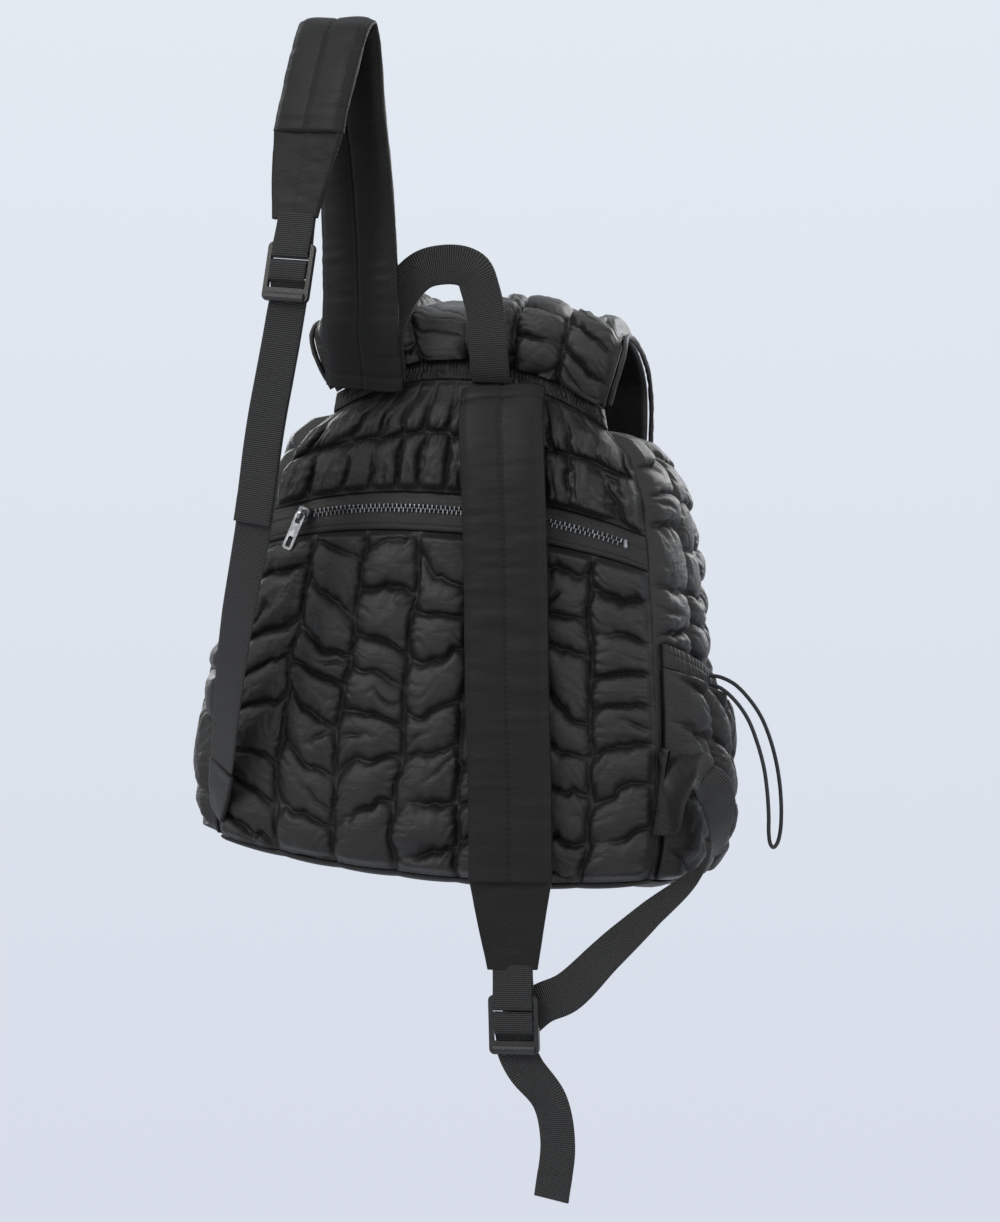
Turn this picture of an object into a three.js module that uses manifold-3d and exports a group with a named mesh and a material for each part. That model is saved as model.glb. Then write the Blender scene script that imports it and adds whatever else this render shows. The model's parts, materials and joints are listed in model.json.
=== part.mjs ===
// Quilted puffer backpack, hanging by its left shoulder strap. Millimetres, +Z up.
// The wearer's side faces -Y, and X runs to the right as that side is seen.
// The origin is the underside of the left strap's arch, the place that the bag hangs by.
import * as THREE from "three";
import { mergeVertices } from "three/addons/utils/BufferGeometryUtils.js";
import Module from "manifold-3d";

const wasm = await Module();
wasm.setup();

// Driving sizes of the bag, in millimetres, with the tilt in degrees
const bagHeight = 375;
const bagWidth = 347;
const bagDepth = 155;
const hangTilt = 4.5;
const wall = 3;
const gap = 0.3;

// How far the filled sides swell between their corner seams
const backSwell = 18;
const sideSwell = 14;
const frontSwell = 30;

// Quilting: how proud a puff stands, and how many there are
const puffCrown = 12;
const backColumns = 7;
const sideColumns = 3;
const lowerRows = 9;
const zipRows = 1;
const upperRows = 3;

// Seams at the corners, and how far each one arches or sags between them
const baseCorner = 12;
const baseSag = 12;
const mouthCorner = bagHeight * 0.9173;
const mouthArch = 31;
const frontMouthDip = 8;
const archPower = 2.4;

// Back zip
const zipCentre = bagHeight * 0.7333;
const zipArch = 20;
const tapeBelow = 15;
const tapeAbove = 11;
const tapeThickness = 2;
const chainLeft = -bagWidth * 0.32;
const chainRight = bagWidth * 0.38;
const chainWidth = 6;
const chainThickness = 2.6;
const toothPitch = 7;
const sliderLength = 12;
const sliderWidth = 9.5;
const sliderHeight = 4.2;
const bailWidth = 2.4;
const bailRadius = 4.4;
const bailHole = 2.3;
const pullerLength = 30;
const pullerWidth = 8.5;
const pullerThickness = 1.8;
const pullerSlant = 17;

// Flap
const flapColumns = 6;
const flapRows = 10;
const flapCrown = 10;
const bandShirring = 1.4;
const bindingRadius = 2.4;

// Side pockets
const pocketHeight = 140;
const pocketSlant = 0.25;
const pocketMargin = 0.04;
const pocketSeat = 1.3;
const pocketSwell = 16;
const pocketCrown = 9;
const pocketRows = 3;
const hemHeight = 15;
const hemThickness = 4;
const cordDiameter = 3;

// Shoulder straps, webbing and ladder buckles
const padLength = 374;
const padWidth = 64;
const padThickness = 12;
const endLength = 63;
const endWidth = 38;
const endThickness = 4;
const stubLength = 20;
const webbingWidth = 30;
const webbingThickness = 1.5;
const leftTailLength = 188;
const rightTailLength = 104;
const handleThickness = 2.2;
const buckleWidth = 38;
const buckleHeight = 44;
const buckleThickness = 4;
const barHeight = 6;
const middleBarHeight = 8;
const upperWindow = 12;
const tabWidth = 66;
const tabMiddle = 78;

// Sections of the bag up its height. Heights are shares of bagHeight, widths of bagWidth, depths of bagDepth.
const sections = [
  { height: 0.0, width: 0.955, depth: 0.93, back: 0.03, swell: 0.35 },
  { height: 0.05, width: 0.99, depth: 0.98, back: 0.005, swell: 0.65 },
  { height: 0.1, width: 1.0, depth: 1.0, back: 0.0, swell: 0.85 },
  { height: 0.35, width: 0.96, depth: 1.0, back: 0.0, swell: 1.0 },
  { height: 0.51, width: 0.915, depth: 0.96, back: 0.01, swell: 1.0 },
  { height: 0.67, width: 0.865, depth: 0.9, back: 0.02, swell: 1.0 },
  { height: 0.79, width: 0.815, depth: 0.82, back: 0.04, swell: 0.9 },
  { height: 0.87, width: 0.735, depth: 0.7, back: 0.08, swell: 0.75 },
  { height: 0.92, width: 0.62, depth: 0.6, back: 0.11, swell: 0.55 },
];

// The flap from its seam over the mouth, as shares: out of bagDepth, up of bagHeight, width of bagWidth.
// shift moves a fold sideways, and dropOut and dropDown say how far its side edges lie from its middle line.
const flapFolds = [
  { out: 0.07, up: 1.043, width: 0.61, shift: -0.006, dropOut: 0.055, dropDown: 0.083 },
  { out: 0.02, up: 1.085, width: 0.665, shift: -0.014, dropOut: 0.05, dropDown: 0.065 },
  { out: 0.05, up: 1.13, width: 0.7, shift: -0.02, dropOut: 0.04, dropDown: 0.05 },
  { out: 0.2, up: 1.16, width: 0.68, shift: -0.02, dropOut: 0.0, dropDown: 0.05 },
  { out: 0.47, up: 1.168, width: 0.655, shift: -0.018, dropOut: 0.0, dropDown: 0.05 },
  { out: 0.75, up: 1.145, width: 0.655, shift: -0.018, dropOut: 0.0, dropDown: 0.055 },
  { out: 0.98, up: 1.085, width: 0.66, shift: -0.018, dropOut: -0.04, dropDown: 0.05 },
  { out: 1.07, up: 0.985, width: 0.67, shift: -0.018, dropOut: -0.09, dropDown: 0.03 },
  { out: 1.12, up: 0.9, width: 0.67, shift: -0.018, dropOut: -0.12, dropDown: 0.01 },
];
const flapFrontHeights = [0.8, 0.7, 0.62];

// How full a side pocket is, from its foot to its hem, as a share of pocketSwell
const pocketFill = [
  { height: 0.0, swell: 0.0 },
  { height: 0.15, swell: 0.6 },
  { height: 0.45, swell: 1.0 },
  { height: 0.75, swell: 0.95 },
  { height: 1.0, swell: 0.7 },
];

// Route of the left strap from the seam over the arch to its tab.
// across is a share of bagWidth, out of bagDepth and up of bagHeight; turn is the yaw of its width in degrees.
const leftRouteRows = [
  { across: -0.23, out: 0.006, up: 0.971, turn: -6 },
  { across: -0.23, out: -0.055, up: 1.024, turn: -6 },
  { across: -0.232, out: -0.12, up: 1.077, turn: -7 },
  { across: -0.235, out: -0.132, up: 1.147, turn: -10 },
  { across: -0.26, out: -0.134, up: 1.347, turn: -14 },
  { across: -0.295, out: -0.137, up: 1.525, turn: -13 },
  { across: -0.3055, out: -0.165, up: 1.627, turn: -14 },
  { across: -0.3095, out: -0.205, up: 1.668, turn: -14 },
  { across: -0.3124, out: -0.258, up: 1.6837, turn: -15 },
  { across: -0.3153, out: -0.312, up: 1.668, turn: -15 },
  { across: -0.3185, out: -0.355, up: 1.627, turn: -16 },
  { across: -0.323, out: -0.4, up: 1.565, turn: -17 },
  { across: -0.3305, out: -0.439, up: 1.483, turn: -18 },
  { across: -0.343, out: -0.471, up: 1.317, turn: -12 },
  { across: -0.342, out: -0.503, up: 1.203, turn: -8 },
  { across: -0.353, out: -0.529, up: 1.04, turn: -5 },
  { across: -0.372, out: -0.542, up: 0.861, turn: -5 },
  { across: -0.386, out: -0.529, up: 0.683, turn: -8 },
  { across: -0.423, out: -0.452, up: 0.483, turn: -18 },
  { across: -0.461, out: -0.303, up: 0.296, turn: -30 },
  { across: -0.484, out: -0.185, up: 0.176, turn: -38 },
];
const hangRow = leftRouteRows[8];

// Route of the right strap down the back. It lies on the puffs as far down as restHeight, then hangs plumb.
const rightRouteRows = [
  { across: 0.0885, up: 0.984, turn: 0 },
  { across: 0.1, up: 0.92, turn: 0 },
  { across: 0.12, up: 0.82, turn: 0 },
  { across: 0.144, up: 0.643, turn: 0 },
  { across: 0.173, up: 0.367, turn: 0 },
  { across: 0.195, up: 0.17, turn: 0 },
  { across: 0.212, up: -0.016, turn: 0 },
  { across: 0.231, up: -0.184, turn: 0 },
  { across: 0.244, up: -0.301, turn: 0 },
  { across: 0.254, up: -0.4, turn: 0 },
];
const restHeight = 0.35;

// The right tail below its buckle: side and back are offsets, down a distance, as shares of rightTailLength
const rightTailRows = [
  { side: 0.1, back: 0.0, down: 0.1, turn: -4 },
  { side: 0.29, back: 0.0, down: 0.3, turn: -12 },
  { side: 0.37, back: 0.02, down: 0.6, turn: -18 },
  { side: 0.36, back: 0.0, down: 1.0, turn: -20 },
];

// Route of the right webbing from its tab to the back of the buckle, with the way that its width faces
const rightWebbingRows = [
  { across: 0.6, out: -0.1, up: 0.247, face: [-0.35, 0.1, 1] },
  { across: 0.622, out: -0.06, up: 0.222, face: [0.5, 0.35, 0.8] },
  { across: 0.633, out: 0.0, up: 0.18, face: [0.6, 0.85, 0.2] },
  { across: 0.628, out: 0.03, up: 0.115, face: [0.2, 1, 0] },
  { across: 0.583, out: -0.03, up: 0.045, face: [-0.25, 0.9, 0.3] },
  { across: 0.507, out: -0.12, up: -0.03, face: [-0.42, 0.75, 0.5] },
  { across: 0.431, out: -0.2, up: -0.11, face: [-0.55, 0.5, 0.65] },
  { across: 0.35, out: -0.19, up: -0.195, face: [-0.68, 0.15, 0.72] },
];

// The grab handle's middle line, from its right foot over its top to its left foot
const handleRows = [
  { across: 0.0548, up: 0.996, out: 0.03, face: [1, 0, 0] },
  { across: 0.0548, up: 1.028, out: -0.03, face: [1, 0, 0] },
  { across: 0.052, up: 1.072, out: -0.075, face: [1, 0, 0.05] },
  { across: 0.046, up: 1.14, out: -0.075, face: [0.97, 0, 0.25] },
  { across: 0.013, up: 1.2, out: -0.07, face: [0.6, 0, 0.8] },
  { across: -0.05, up: 1.218, out: -0.07, face: [0, 0, 1] },
  { across: -0.11, up: 1.195, out: -0.065, face: [-0.6, 0, 0.8] },
  { across: -0.158, up: 1.135, out: -0.055, face: [-0.97, 0, 0.25] },
  { across: -0.178, up: 1.07, out: -0.052, face: [-1, 0, 0.05] },
  { across: -0.184, up: 1.015, out: 0.01, face: [-1, 0, 0] },
  { across: -0.184, up: 0.988, out: 0.038, face: [-1, 0, 0] },
];

// The drawcord's loop as chosen points of the bag's own frame, out of the right pocket's hem and back into it
const cordPoints = [
  [192.7, 62, 165], [200, 63.6, 164.5], [211, 66.5, 160], [222, 68.5, 150.5], [232.5, 69.5, 137.5],
  [240.5, 70, 122], [247, 70, 104], [251.5, 70, 85], [254, 70, 66], [254.5, 69, 52],
  [253.5, 66, 43], [251.5, 62, 39.5], [249.5, 58, 42], [248, 55.5, 50], [247, 54.5, 64],
  [244.5, 54, 82], [240.5, 54, 100], [234, 54, 118], [225.5, 54.5, 135], [215, 55, 147.5],
  [203, 55.6, 156.3], [192.6, 56, 159],
];
const cordSteps = 36;

// Materials
const nylon = { color: 0x1d1e20, roughness: 0.55, metalness: 0 };
const webbingCloth = { color: 0x222326, roughness: 0.8, metalness: 0 };
const plastic = { color: 0x1a1b1d, roughness: 0.35, metalness: 0 };
const gunmetal = { color: 0x55575b, roughness: 0.35, metalness: 1 };

const bag = new THREE.Group();

// A named piece in one material
function addPiece(name, geometry, finish, parent = bag) {
  const mesh = new THREE.Mesh(geometry, new THREE.MeshStandardMaterial(finish));
  mesh.name = name;
  parent.add(mesh);
  return mesh;
}

function mix(a, b, share) {
  return a + (b - a) * share;
}

// A column of a table at any height, straight between its rows
function readTable(table, column, height) {
  const last = table.length - 1;
  let row = 0;
  while (row < last - 1 && table[row + 1].height < height) {
    row += 1;
  }
  const from = table[row];
  const to = table[row + 1];
  const share = THREE.MathUtils.clamp((height - from.height) / (to.height - from.height), 0, 1);
  return mix(from[column], to[column], share);
}

// A closed body from points and triangles, turned so that its faces point out
function closedBody(points, triangles) {
  let volume = 0;
  for (const [a, b, c] of triangles) {
    volume += points[a].dot(new THREE.Vector3().crossVectors(points[b], points[c]));
  }
  const order = volume < 0 ? [0, 2, 1] : [0, 1, 2];
  const geometry = new THREE.BufferGeometry();
  geometry.setAttribute("position", new THREE.Float32BufferAttribute(points.flatMap((p) => p.toArray()), 3));
  geometry.setIndex(triangles.flatMap((t) => order.map((k) => t[k])));
  geometry.computeVertexNormals();
  return geometry;
}

// A wall between an outer and a coarser inner grid of points, joined round its rim
function wallBetween(outer, inner) {
  const points = [...outer.flat(), ...inner.flat()];
  const outerWidth = outer[0].length;
  const innerWidth = inner[0].length;
  const innerStart = outer.length * outerWidth;
  const outerAt = (row, column) => row * outerWidth + column;
  const innerAt = (row, column) => innerStart + row * innerWidth + column;
  const triangles = [];
  for (let row = 0; row < outer.length - 1; row += 1) {
    for (let column = 0; column < outerWidth - 1; column += 1) {
      const [a, b] = [outerAt(row, column), outerAt(row, column + 1)];
      const [c, d] = [outerAt(row + 1, column + 1), outerAt(row + 1, column)];
      triangles.push([a, b, c], [a, c, d]);
    }
  }
  for (let row = 0; row < inner.length - 1; row += 1) {
    for (let column = 0; column < innerWidth - 1; column += 1) {
      const [a, b] = [innerAt(row, column), innerAt(row, column + 1)];
      const [c, d] = [innerAt(row + 1, column + 1), innerAt(row + 1, column)];
      triangles.push([a, c, b], [a, d, c]);
    }
  }
  const rowStep = (outer.length - 1) / (inner.length - 1);
  const columnStep = (outerWidth - 1) / (innerWidth - 1);
  // One run of rim between the outer line of points and the inner one
  function rim(outerLine, innerLine, step, flip) {
    for (let k = 0; k < innerLine.length - 1; k += 1) {
      const strip = [];
      for (let j = 0; j < step; j += 1) {
        strip.push([innerLine[k], outerLine[k * step + j + 1], outerLine[k * step + j]]);
      }
      strip.push([innerLine[k], innerLine[k + 1], outerLine[(k + 1) * step]]);
      triangles.push(...strip.map((t) => (flip ? [t[0], t[2], t[1]] : t)));
    }
  }
  const lastOuterRow = outer.length - 1;
  const lastInnerRow = inner.length - 1;
  const outerRow = (row) => outer[0].map((_, column) => outerAt(row, column));
  const innerRow = (row) => inner[0].map((_, column) => innerAt(row, column));
  const outerColumn = (column) => outer.map((_, row) => outerAt(row, column));
  const innerColumn = (column) => inner.map((_, row) => innerAt(row, column));
  rim(outerRow(0), innerRow(0), columnStep, false);
  rim(outerRow(lastOuterRow), innerRow(lastInnerRow), columnStep, true);
  rim(outerColumn(0), innerColumn(0), rowStep, true);
  rim(outerColumn(outerWidth - 1), innerColumn(innerWidth - 1), rowStep, false);
  return closedBody(points, triangles);
}

// A grid of points from a function of its row and column
function grid(rows, columns, pointAt) {
  return Array.from({ length: rows + 1 }, (_, row) => (
    Array.from({ length: columns + 1 }, (_, column) => pointAt(row, column))
  ));
}

// How proud a quilted cloth stands: nothing at a column's stitching, little at a row's crease
function puffRelief(columnPlace, rowPlace) {
  const acrossColumn = Math.abs(Math.sin(Math.PI * columnPlace)) ** 0.6;
  const alongRow = 0.35 + 0.65 * Math.abs(Math.sin(Math.PI * rowPlace)) ** 0.7;
  const fullness = 0.85 + 0.15 * Math.sin(7.3 * Math.floor(columnPlace) + 4.1 * Math.floor(rowPlace));
  return acrossColumn * alongRow * fullness;
}

// The four sides of the bag, each running from one corner seam to the next, seen from above
const sides = {
  back: { first: 0, outward: [0, -1], swell: backSwell, rises: [-baseSag, zipArch, mouthArch] },
  right: { first: 1, outward: [1, 0], swell: sideSwell, rises: [-baseSag / 3, 0, 0] },
  front: { first: 2, outward: [0, 1], swell: frontSwell, rises: [-baseSag, 0, -frontMouthDip] },
  left: { first: 3, outward: [-1, 0], swell: sideSwell, rises: [-baseSag / 3, 0, 0] },
};
const zipCorner = zipCentre - zipArch;

// How far a side's seams arch at a corner height: below, at and above the zip
function riseAt(side, height) {
  const [base, zip, mouth] = side.rises;
  if (height < zipCorner) {
    return mix(base, zip, (height - baseCorner) / (zipCorner - baseCorner));
  }
  return mix(zip, mouth, (height - zipCorner) / (mouthCorner - zipCorner));
}

// A point of a side: s runs from corner to corner, height is the height at its corners,
// inset moves the corners in with a mitre and out lifts the point off the cloth's line
function wallPoint(side, s, height, inset, out) {
  const share = height / bagHeight;
  const halfWidth = bagWidth * readTable(sections, "width", share) / 2 - inset;
  const back = bagDepth * readTable(sections, "back", share);
  const depth = bagDepth * readTable(sections, "depth", share);
  const corners = [
    [-halfWidth, back + inset],
    [halfWidth, back + inset],
    [halfWidth, back + depth - inset],
    [-halfWidth, back + depth - inset],
  ];
  const [x0, y0] = corners[side.first];
  const [x1, y1] = corners[(side.first + 1) % 4];
  const length = Math.hypot(x1 - x0, y1 - y0);
  const place = mix(gap, length - gap, s) / length;
  const round = 1 - Math.abs(2 * s - 1) ** archPower;
  const push = side.swell * readTable(sections, "swell", share) * (1 - (2 * s - 1) ** 2) + out;
  return new THREE.Vector3(
    mix(x0, x1, place) + side.outward[0] * push,
    mix(y0, y1, place) + side.outward[1] * push,
    height + riseAt(side, height) * round,
  );
}

// Where the padded back lies at a place across and up the bag, without its puffs, and its corner height there
function backFace(x, z) {
  let height = z;
  for (let round = 0; round < 4; round += 1) {
    const halfWidth = bagWidth * readTable(sections, "width", height / bagHeight) / 2;
    const s = THREE.MathUtils.clamp(0.5 + x / (2 * halfWidth), 0, 1);
    height += z - wallPoint(sides.back, s, height, 0, 0).z;
    height = THREE.MathUtils.clamp(height, baseCorner, mouthCorner);
  }
  const halfWidth = bagWidth * readTable(sections, "width", height / bagHeight) / 2;
  const s = THREE.MathUtils.clamp(0.5 + x / (2 * halfWidth), 0, 1);
  return { y: wallPoint(sides.back, s, height, 0, 0).y, height };
}

// Corner heights of the rows of puffs, the same on every side so that their seams meet
const cellsPerRow = 2;
const cellsPerColumn = 3;
const tapeFoot = zipCorner - tapeBelow;
const tapeTop = zipCorner + tapeAbove;

function evenHeights(from, to, rows) {
  return Array.from({ length: rows * cellsPerRow + 1 }, (_, k) => mix(from, to, k / (rows * cellsPerRow)));
}
const lowerHeights = evenHeights(baseCorner, tapeFoot, lowerRows);
const zipHeights = evenHeights(tapeFoot, tapeTop, zipRows);
const upperHeights = evenHeights(tapeTop, mouthCorner, upperRows);
const allHeights = [...lowerHeights, ...zipHeights.slice(1), ...upperHeights.slice(1)];

// A quilted side panel, hollow side in. puffAt says how much of the crown a place gets.
function quiltedPanel(side, heights, columns, puffAt = () => 1, cells = cellsPerColumn) {
  const last = heights.length - 1;
  const trimmed = heights.map((height, k) => height + (k === 0 ? gap : 0) - (k === last ? gap : 0));
  const rowHeight = (heights[last] - heights[0]) / last * cellsPerRow;
  const outer = grid(last, columns * cells, (row, column) => {
    const s = column / (columns * cells);
    const fade = Math.sin(Math.PI * row / last);
    const stagger = 0.3 * rowHeight * fade * Math.sin(Math.PI * s * columns);
    const height = trimmed[row] + stagger;
    const atRim = row === 0 || row === last ? 0 : 1;
    const out = atRim * puffCrown * puffAt(s, height) * puffRelief(s * columns, row / cellsPerRow);
    return wallPoint(side, s, height, 0, out);
  });
  const innerLast = last / cellsPerRow;
  const inner = grid(innerLast, columns, (row, column) => {
    const ease = (row === 0 ? 1 : 0) - (row === innerLast ? 1 : 0);
    return wallPoint(side, column / columns, trimmed[row * cellsPerRow] + ease * gap * 2, wall, 0);
  });
  return wallBetween(outer, inner);
}

// Under the strap seam the puffs are sewn flat
function seamFlattening(height) {
  return 1 - 0.8 * THREE.MathUtils.smoothstep(height, mouthCorner - 34, mouthCorner - 6);
}

function makeBody() {
  // Behind a pocket the side is plain cloth
  const pocketTop = baseCorner + (pocketHeight + hemHeight) * (1 + pocketSlant / 2);
  const abovePocket = (s, height) => THREE.MathUtils.smoothstep(height, pocketTop + 6, pocketTop + 30);
  addPiece("back_panel_lower", quiltedPanel(sides.back, lowerHeights, backColumns), nylon);
  const underSeam = (s, height) => seamFlattening(height);
  addPiece("back_panel_upper", quiltedPanel(sides.back, upperHeights, backColumns, underSeam), nylon);
  addPiece("side_panel_right", quiltedPanel(sides.right, allHeights, sideColumns, abovePocket), nylon);
  addPiece("side_panel_left", quiltedPanel(sides.left, allHeights, sideColumns, abovePocket), nylon);
  addPiece("front_panel", quiltedPanel(sides.front, allHeights, backColumns, () => 1, 2), nylon);
}

// The base: a padded floor whose rim follows the foot of every side
const baseThickness = 6;
const baseCells = 12;

function makeBase() {
  const share = baseCorner / bagHeight;
  const halfWidth = bagWidth * readTable(sections, "width", share) / 2;
  const back = bagDepth * readTable(sections, "back", share);
  const depth = bagDepth * readTable(sections, "depth", share);
  const swell = readTable(sections, "swell", share);
  const floorPoint = (row, column, below) => {
    const s = column / baseCells;
    const q = row / baseCells;
    const acrossBulge = 1 - (2 * s - 1) ** 2;
    const depthBulge = 1 - (2 * q - 1) ** 2;
    const acrossArch = 1 - Math.abs(2 * s - 1) ** archPower;
    const depthArch = 1 - Math.abs(2 * q - 1) ** archPower;
    const x = (2 * s - 1) * (halfWidth + sideSwell * swell * depthBulge);
    const from = back - backSwell * swell * acrossBulge;
    const to = back + depth + frontSwell * swell * acrossBulge;
    const sag = baseSag * acrossArch + baseSag / 3 * depthArch * (1 - acrossArch);
    return new THREE.Vector3(x, mix(from, to, q), baseCorner - gap - sag - below);
  };
  const rimmed = (row, column) => row % baseCells !== 0 && column % baseCells !== 0;
  const under = grid(baseCells, baseCells, (row, column) => (
    floorPoint(row, column, rimmed(row, column) ? baseThickness + wall : baseThickness)
  ));
  const over = grid(baseCells / 2, baseCells / 2, (row, column) => floorPoint(row * 2, column * 2, 0));
  addPiece("base_panel", wallBetween(under, over), nylon);
}

// The flap's middle line and side edges, from its seam to its front end
function makeFlapCurves() {
  const rows = flapFolds.map((fold) => ({
    middle: new THREE.Vector3(fold.width * bagWidth / 2, fold.out * bagDepth, fold.up * bagHeight),
    drop: new THREE.Vector3(fold.shift * bagWidth, fold.dropOut * bagDepth, -fold.dropDown * bagHeight),
  }));
  const endFold = flapFolds[flapFolds.length - 1];
  const halfWidth = endFold.width * bagWidth / 2;
  for (const share of flapFrontHeights) {
    const front = wallPoint(sides.front, 0.5, share * bagHeight, 0, 0);
    const panelHalf = bagWidth * readTable(sections, "width", share) / 2;
    const fall = frontSwell * readTable(sections, "swell", share) * (halfWidth / panelHalf) ** 2;
    const end = share === flapFrontHeights[flapFrontHeights.length - 1] ? 0.94 : 1;
    rows.push({
      middle: new THREE.Vector3(halfWidth * end, front.y + puffCrown + wall + 2, share * bagHeight),
      drop: new THREE.Vector3(endFold.shift * bagWidth, -fall, 0),
    });
  }
  return {
    middle: new THREE.CatmullRomCurve3(rows.map((row) => row.middle)),
    drop: new THREE.CatmullRomCurve3(rows.map((row) => row.drop)),
  };
}
const flapCurves = makeFlapCurves();

// A point of the flap: u runs from its left edge to its right one, v from its seam to its end
function flapPoint(u, v, out) {
  const middle = flapCurves.middle.getPoint(v);
  const drop = flapCurves.drop.getPoint(v);
  const along = flapCurves.middle.getTangent(v);
  const flat = Math.hypot(along.y, along.z);
  const y = middle.y + drop.y * u * u - along.z / flat * out;
  const z = middle.z + drop.z * u * u + along.y / flat * out;
  return new THREE.Vector3(u * middle.x + drop.x, y, z);
}

function makeFlap() {
  const rows = flapRows * cellsPerRow;
  const columns = flapColumns * cellsPerColumn;
  const start = 0.002;
  const outer = grid(rows, columns, (row, column) => {
    const place = column / cellsPerColumn;
    const stagger = 0.25 / flapRows * Math.sin(Math.PI * row / rows) * Math.sin(Math.PI * place);
    const v = mix(start, 1, row / rows) + stagger;
    const atRim = row === 0 || row === rows ? 0 : 1;
    const out = atRim * flapCrown * puffRelief(place, row / cellsPerRow);
    return flapPoint(2 * column / columns - 1, v, out);
  });
  const inner = grid(flapRows, flapColumns, (row, column) => (
    flapPoint(2 * column / flapColumns - 1, mix(start, 1, row / flapRows), -wall)
  ));
  addPiece("flap", wallBetween(outer, inner), nylon);
}

// The shirred band that joins the flap to the back, in fine upright gathers
function makeSeamBand() {
  const gathers = 36;
  const bandPoint = (row, column, out) => {
    const s = column / gathers;
    const foot = wallPoint(sides.back, s, mouthCorner, 0, 0);
    const head = flapPoint(2 * s - 1, 0, 0);
    const share = row / cellsPerRow;
    const point = foot.lerp(head, share);
    point.z += share === 0 ? gap : share === 1 ? -gap : 0;
    point.y -= out;
    return point;
  };
  const outer = grid(cellsPerRow, gathers, (row, column) => (
    bandPoint(row, column, row === 1 && column % 2 === 1 ? bandShirring * 2 : bandShirring / 2)
  ));
  const inner = grid(1, gathers / 2, (row, column) => bandPoint(row * cellsPerRow, column * 2, -wall));
  addPiece("flap_seam_band", wallBetween(outer, inner), nylon);
}

// A round rod along a curve, as for the binding and the cord
function rodAlong(points, radius, faces, steps) {
  const path = new THREE.CatmullRomCurve3(points, false, "centripetal");
  const outline = Array.from({ length: faces }, (_, k) => {
    const angle = 2 * Math.PI * k / faces;
    return new THREE.Vector2(radius * Math.cos(angle), radius * Math.sin(angle));
  });
  return new THREE.ExtrudeGeometry(new THREE.Shape(outline), { steps, extrudePath: path, bevelEnabled: false });
}

// The bound edge of the flap, from its right root round the front end to its left root
function makeFlapBinding() {
  const stand = bindingRadius + gap * 4.5;
  const rows = 14;
  const points = [];
  const edge = (u, v, below) => {
    const point = flapPoint(u, v, -wall / 2);
    point.x += u * stand;
    point.z -= below;
    return point;
  };
  for (let row = 0; row < rows; row += 1) {
    points.push(edge(1, mix(0.01, 0.97, row / (rows - 1)), 0));
  }
  points.push(edge(1.03, 1, stand * 1.4));
  for (const u of [0.8, 0.4, 0, -0.4, -0.8]) {
    const point = flapPoint(u, 1, -wall / 2);
    point.z -= stand;
    points.push(point);
  }
  points.push(edge(-1.03, 1, stand * 1.4));
  for (let row = rows - 1; row >= 0; row -= 1) {
    points.push(edge(-1, mix(0.01, 0.97, row / (rows - 1)), 0));
  }
  addPiece("flap_binding", rodAlong(points, bindingRadius, 6, 48), nylon);
}

// The zip's cloth tape, filling the gap between the two back panels
function makeZipTape() {
  const columns = 24;
  const heights = [tapeFoot + gap, (tapeFoot + tapeTop) / 2, tapeTop - gap];
  const outer = grid(2, columns, (row, column) => wallPoint(sides.back, column / columns, heights[row], 0, 0));
  const inner = grid(1, columns, (row, column) => (
    wallPoint(sides.back, column / columns, heights[row * 2], tapeThickness, 0)
  ));
  addPiece("zip_tape", wallBetween(outer, inner), nylon);
}

// A place on the zip's centre line, x across the bag, lifted out of the tape
function zipPoint(x, out) {
  const halfWidth = bagWidth * readTable(sections, "width", zipCorner / bagHeight) / 2;
  return wallPoint(sides.back, 0.5 + x / (2 * halfWidth), zipCorner, 0, out);
}

// The chain: teeth from both tapes meeting in turn, as one toothed bar
function makeZipChain() {
  const teeth = Math.round((chainRight - chainLeft) / toothPitch);
  const columns = teeth * 2;
  const chainPoint = (row, column, out) => {
    const x = mix(chainLeft, chainRight, column / columns);
    const tooth = Math.floor(column / 2) % 2;
    const halfTooth = chainWidth / 2 * (row === tooth ? 1 : 0.72);
    const point = zipPoint(x, out);
    point.z += row === 0 ? -halfTooth : halfTooth;
    return point;
  };
  const outer = grid(1, columns, (row, column) => chainPoint(row, column, gap + chainThickness));
  const inner = grid(1, columns, (row, column) => chainPoint(row, column, gap));
  addPiece("zip_chain", wallBetween(outer, inner), gunmetal);
}

// A geometry as a solid for joining and cutting
function asSolid(geometry) {
  const plain = geometry.clone();
  plain.deleteAttribute("normal");
  plain.deleteAttribute("uv");
  const merged = mergeVertices(plain, 1e-4);
  return new wasm.Manifold(new wasm.Mesh({
    numProp: 3,
    vertProperties: new Float32Array(merged.attributes.position.array),
    triVerts: new Uint32Array(merged.index.array),
  }));
}

function asGeometry(solid) {
  const mesh = solid.getMesh();
  const geometry = new THREE.BufferGeometry();
  geometry.setAttribute("position", new THREE.BufferAttribute(mesh.vertProperties, 3));
  geometry.setIndex(new THREE.BufferAttribute(mesh.triVerts, 1));
  geometry.computeVertexNormals();
  return geometry;
}

// A rectangle with round corners, as a shape or a window
function roundedOutline(kind, width, height, radius, x = 0, y = 0) {
  const [w, h] = [width / 2 - radius, height / 2 - radius];
  const outline = new kind();
  outline.absarc(x + w, y + h, radius, 0, Math.PI / 2, false);
  outline.absarc(x - w, y + h, radius, Math.PI / 2, Math.PI, false);
  outline.absarc(x - w, y - h, radius, Math.PI, 1.5 * Math.PI, false);
  outline.absarc(x + w, y - h, radius, 1.5 * Math.PI, 2 * Math.PI, false);
  outline.closePath();
  return outline;
}

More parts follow.
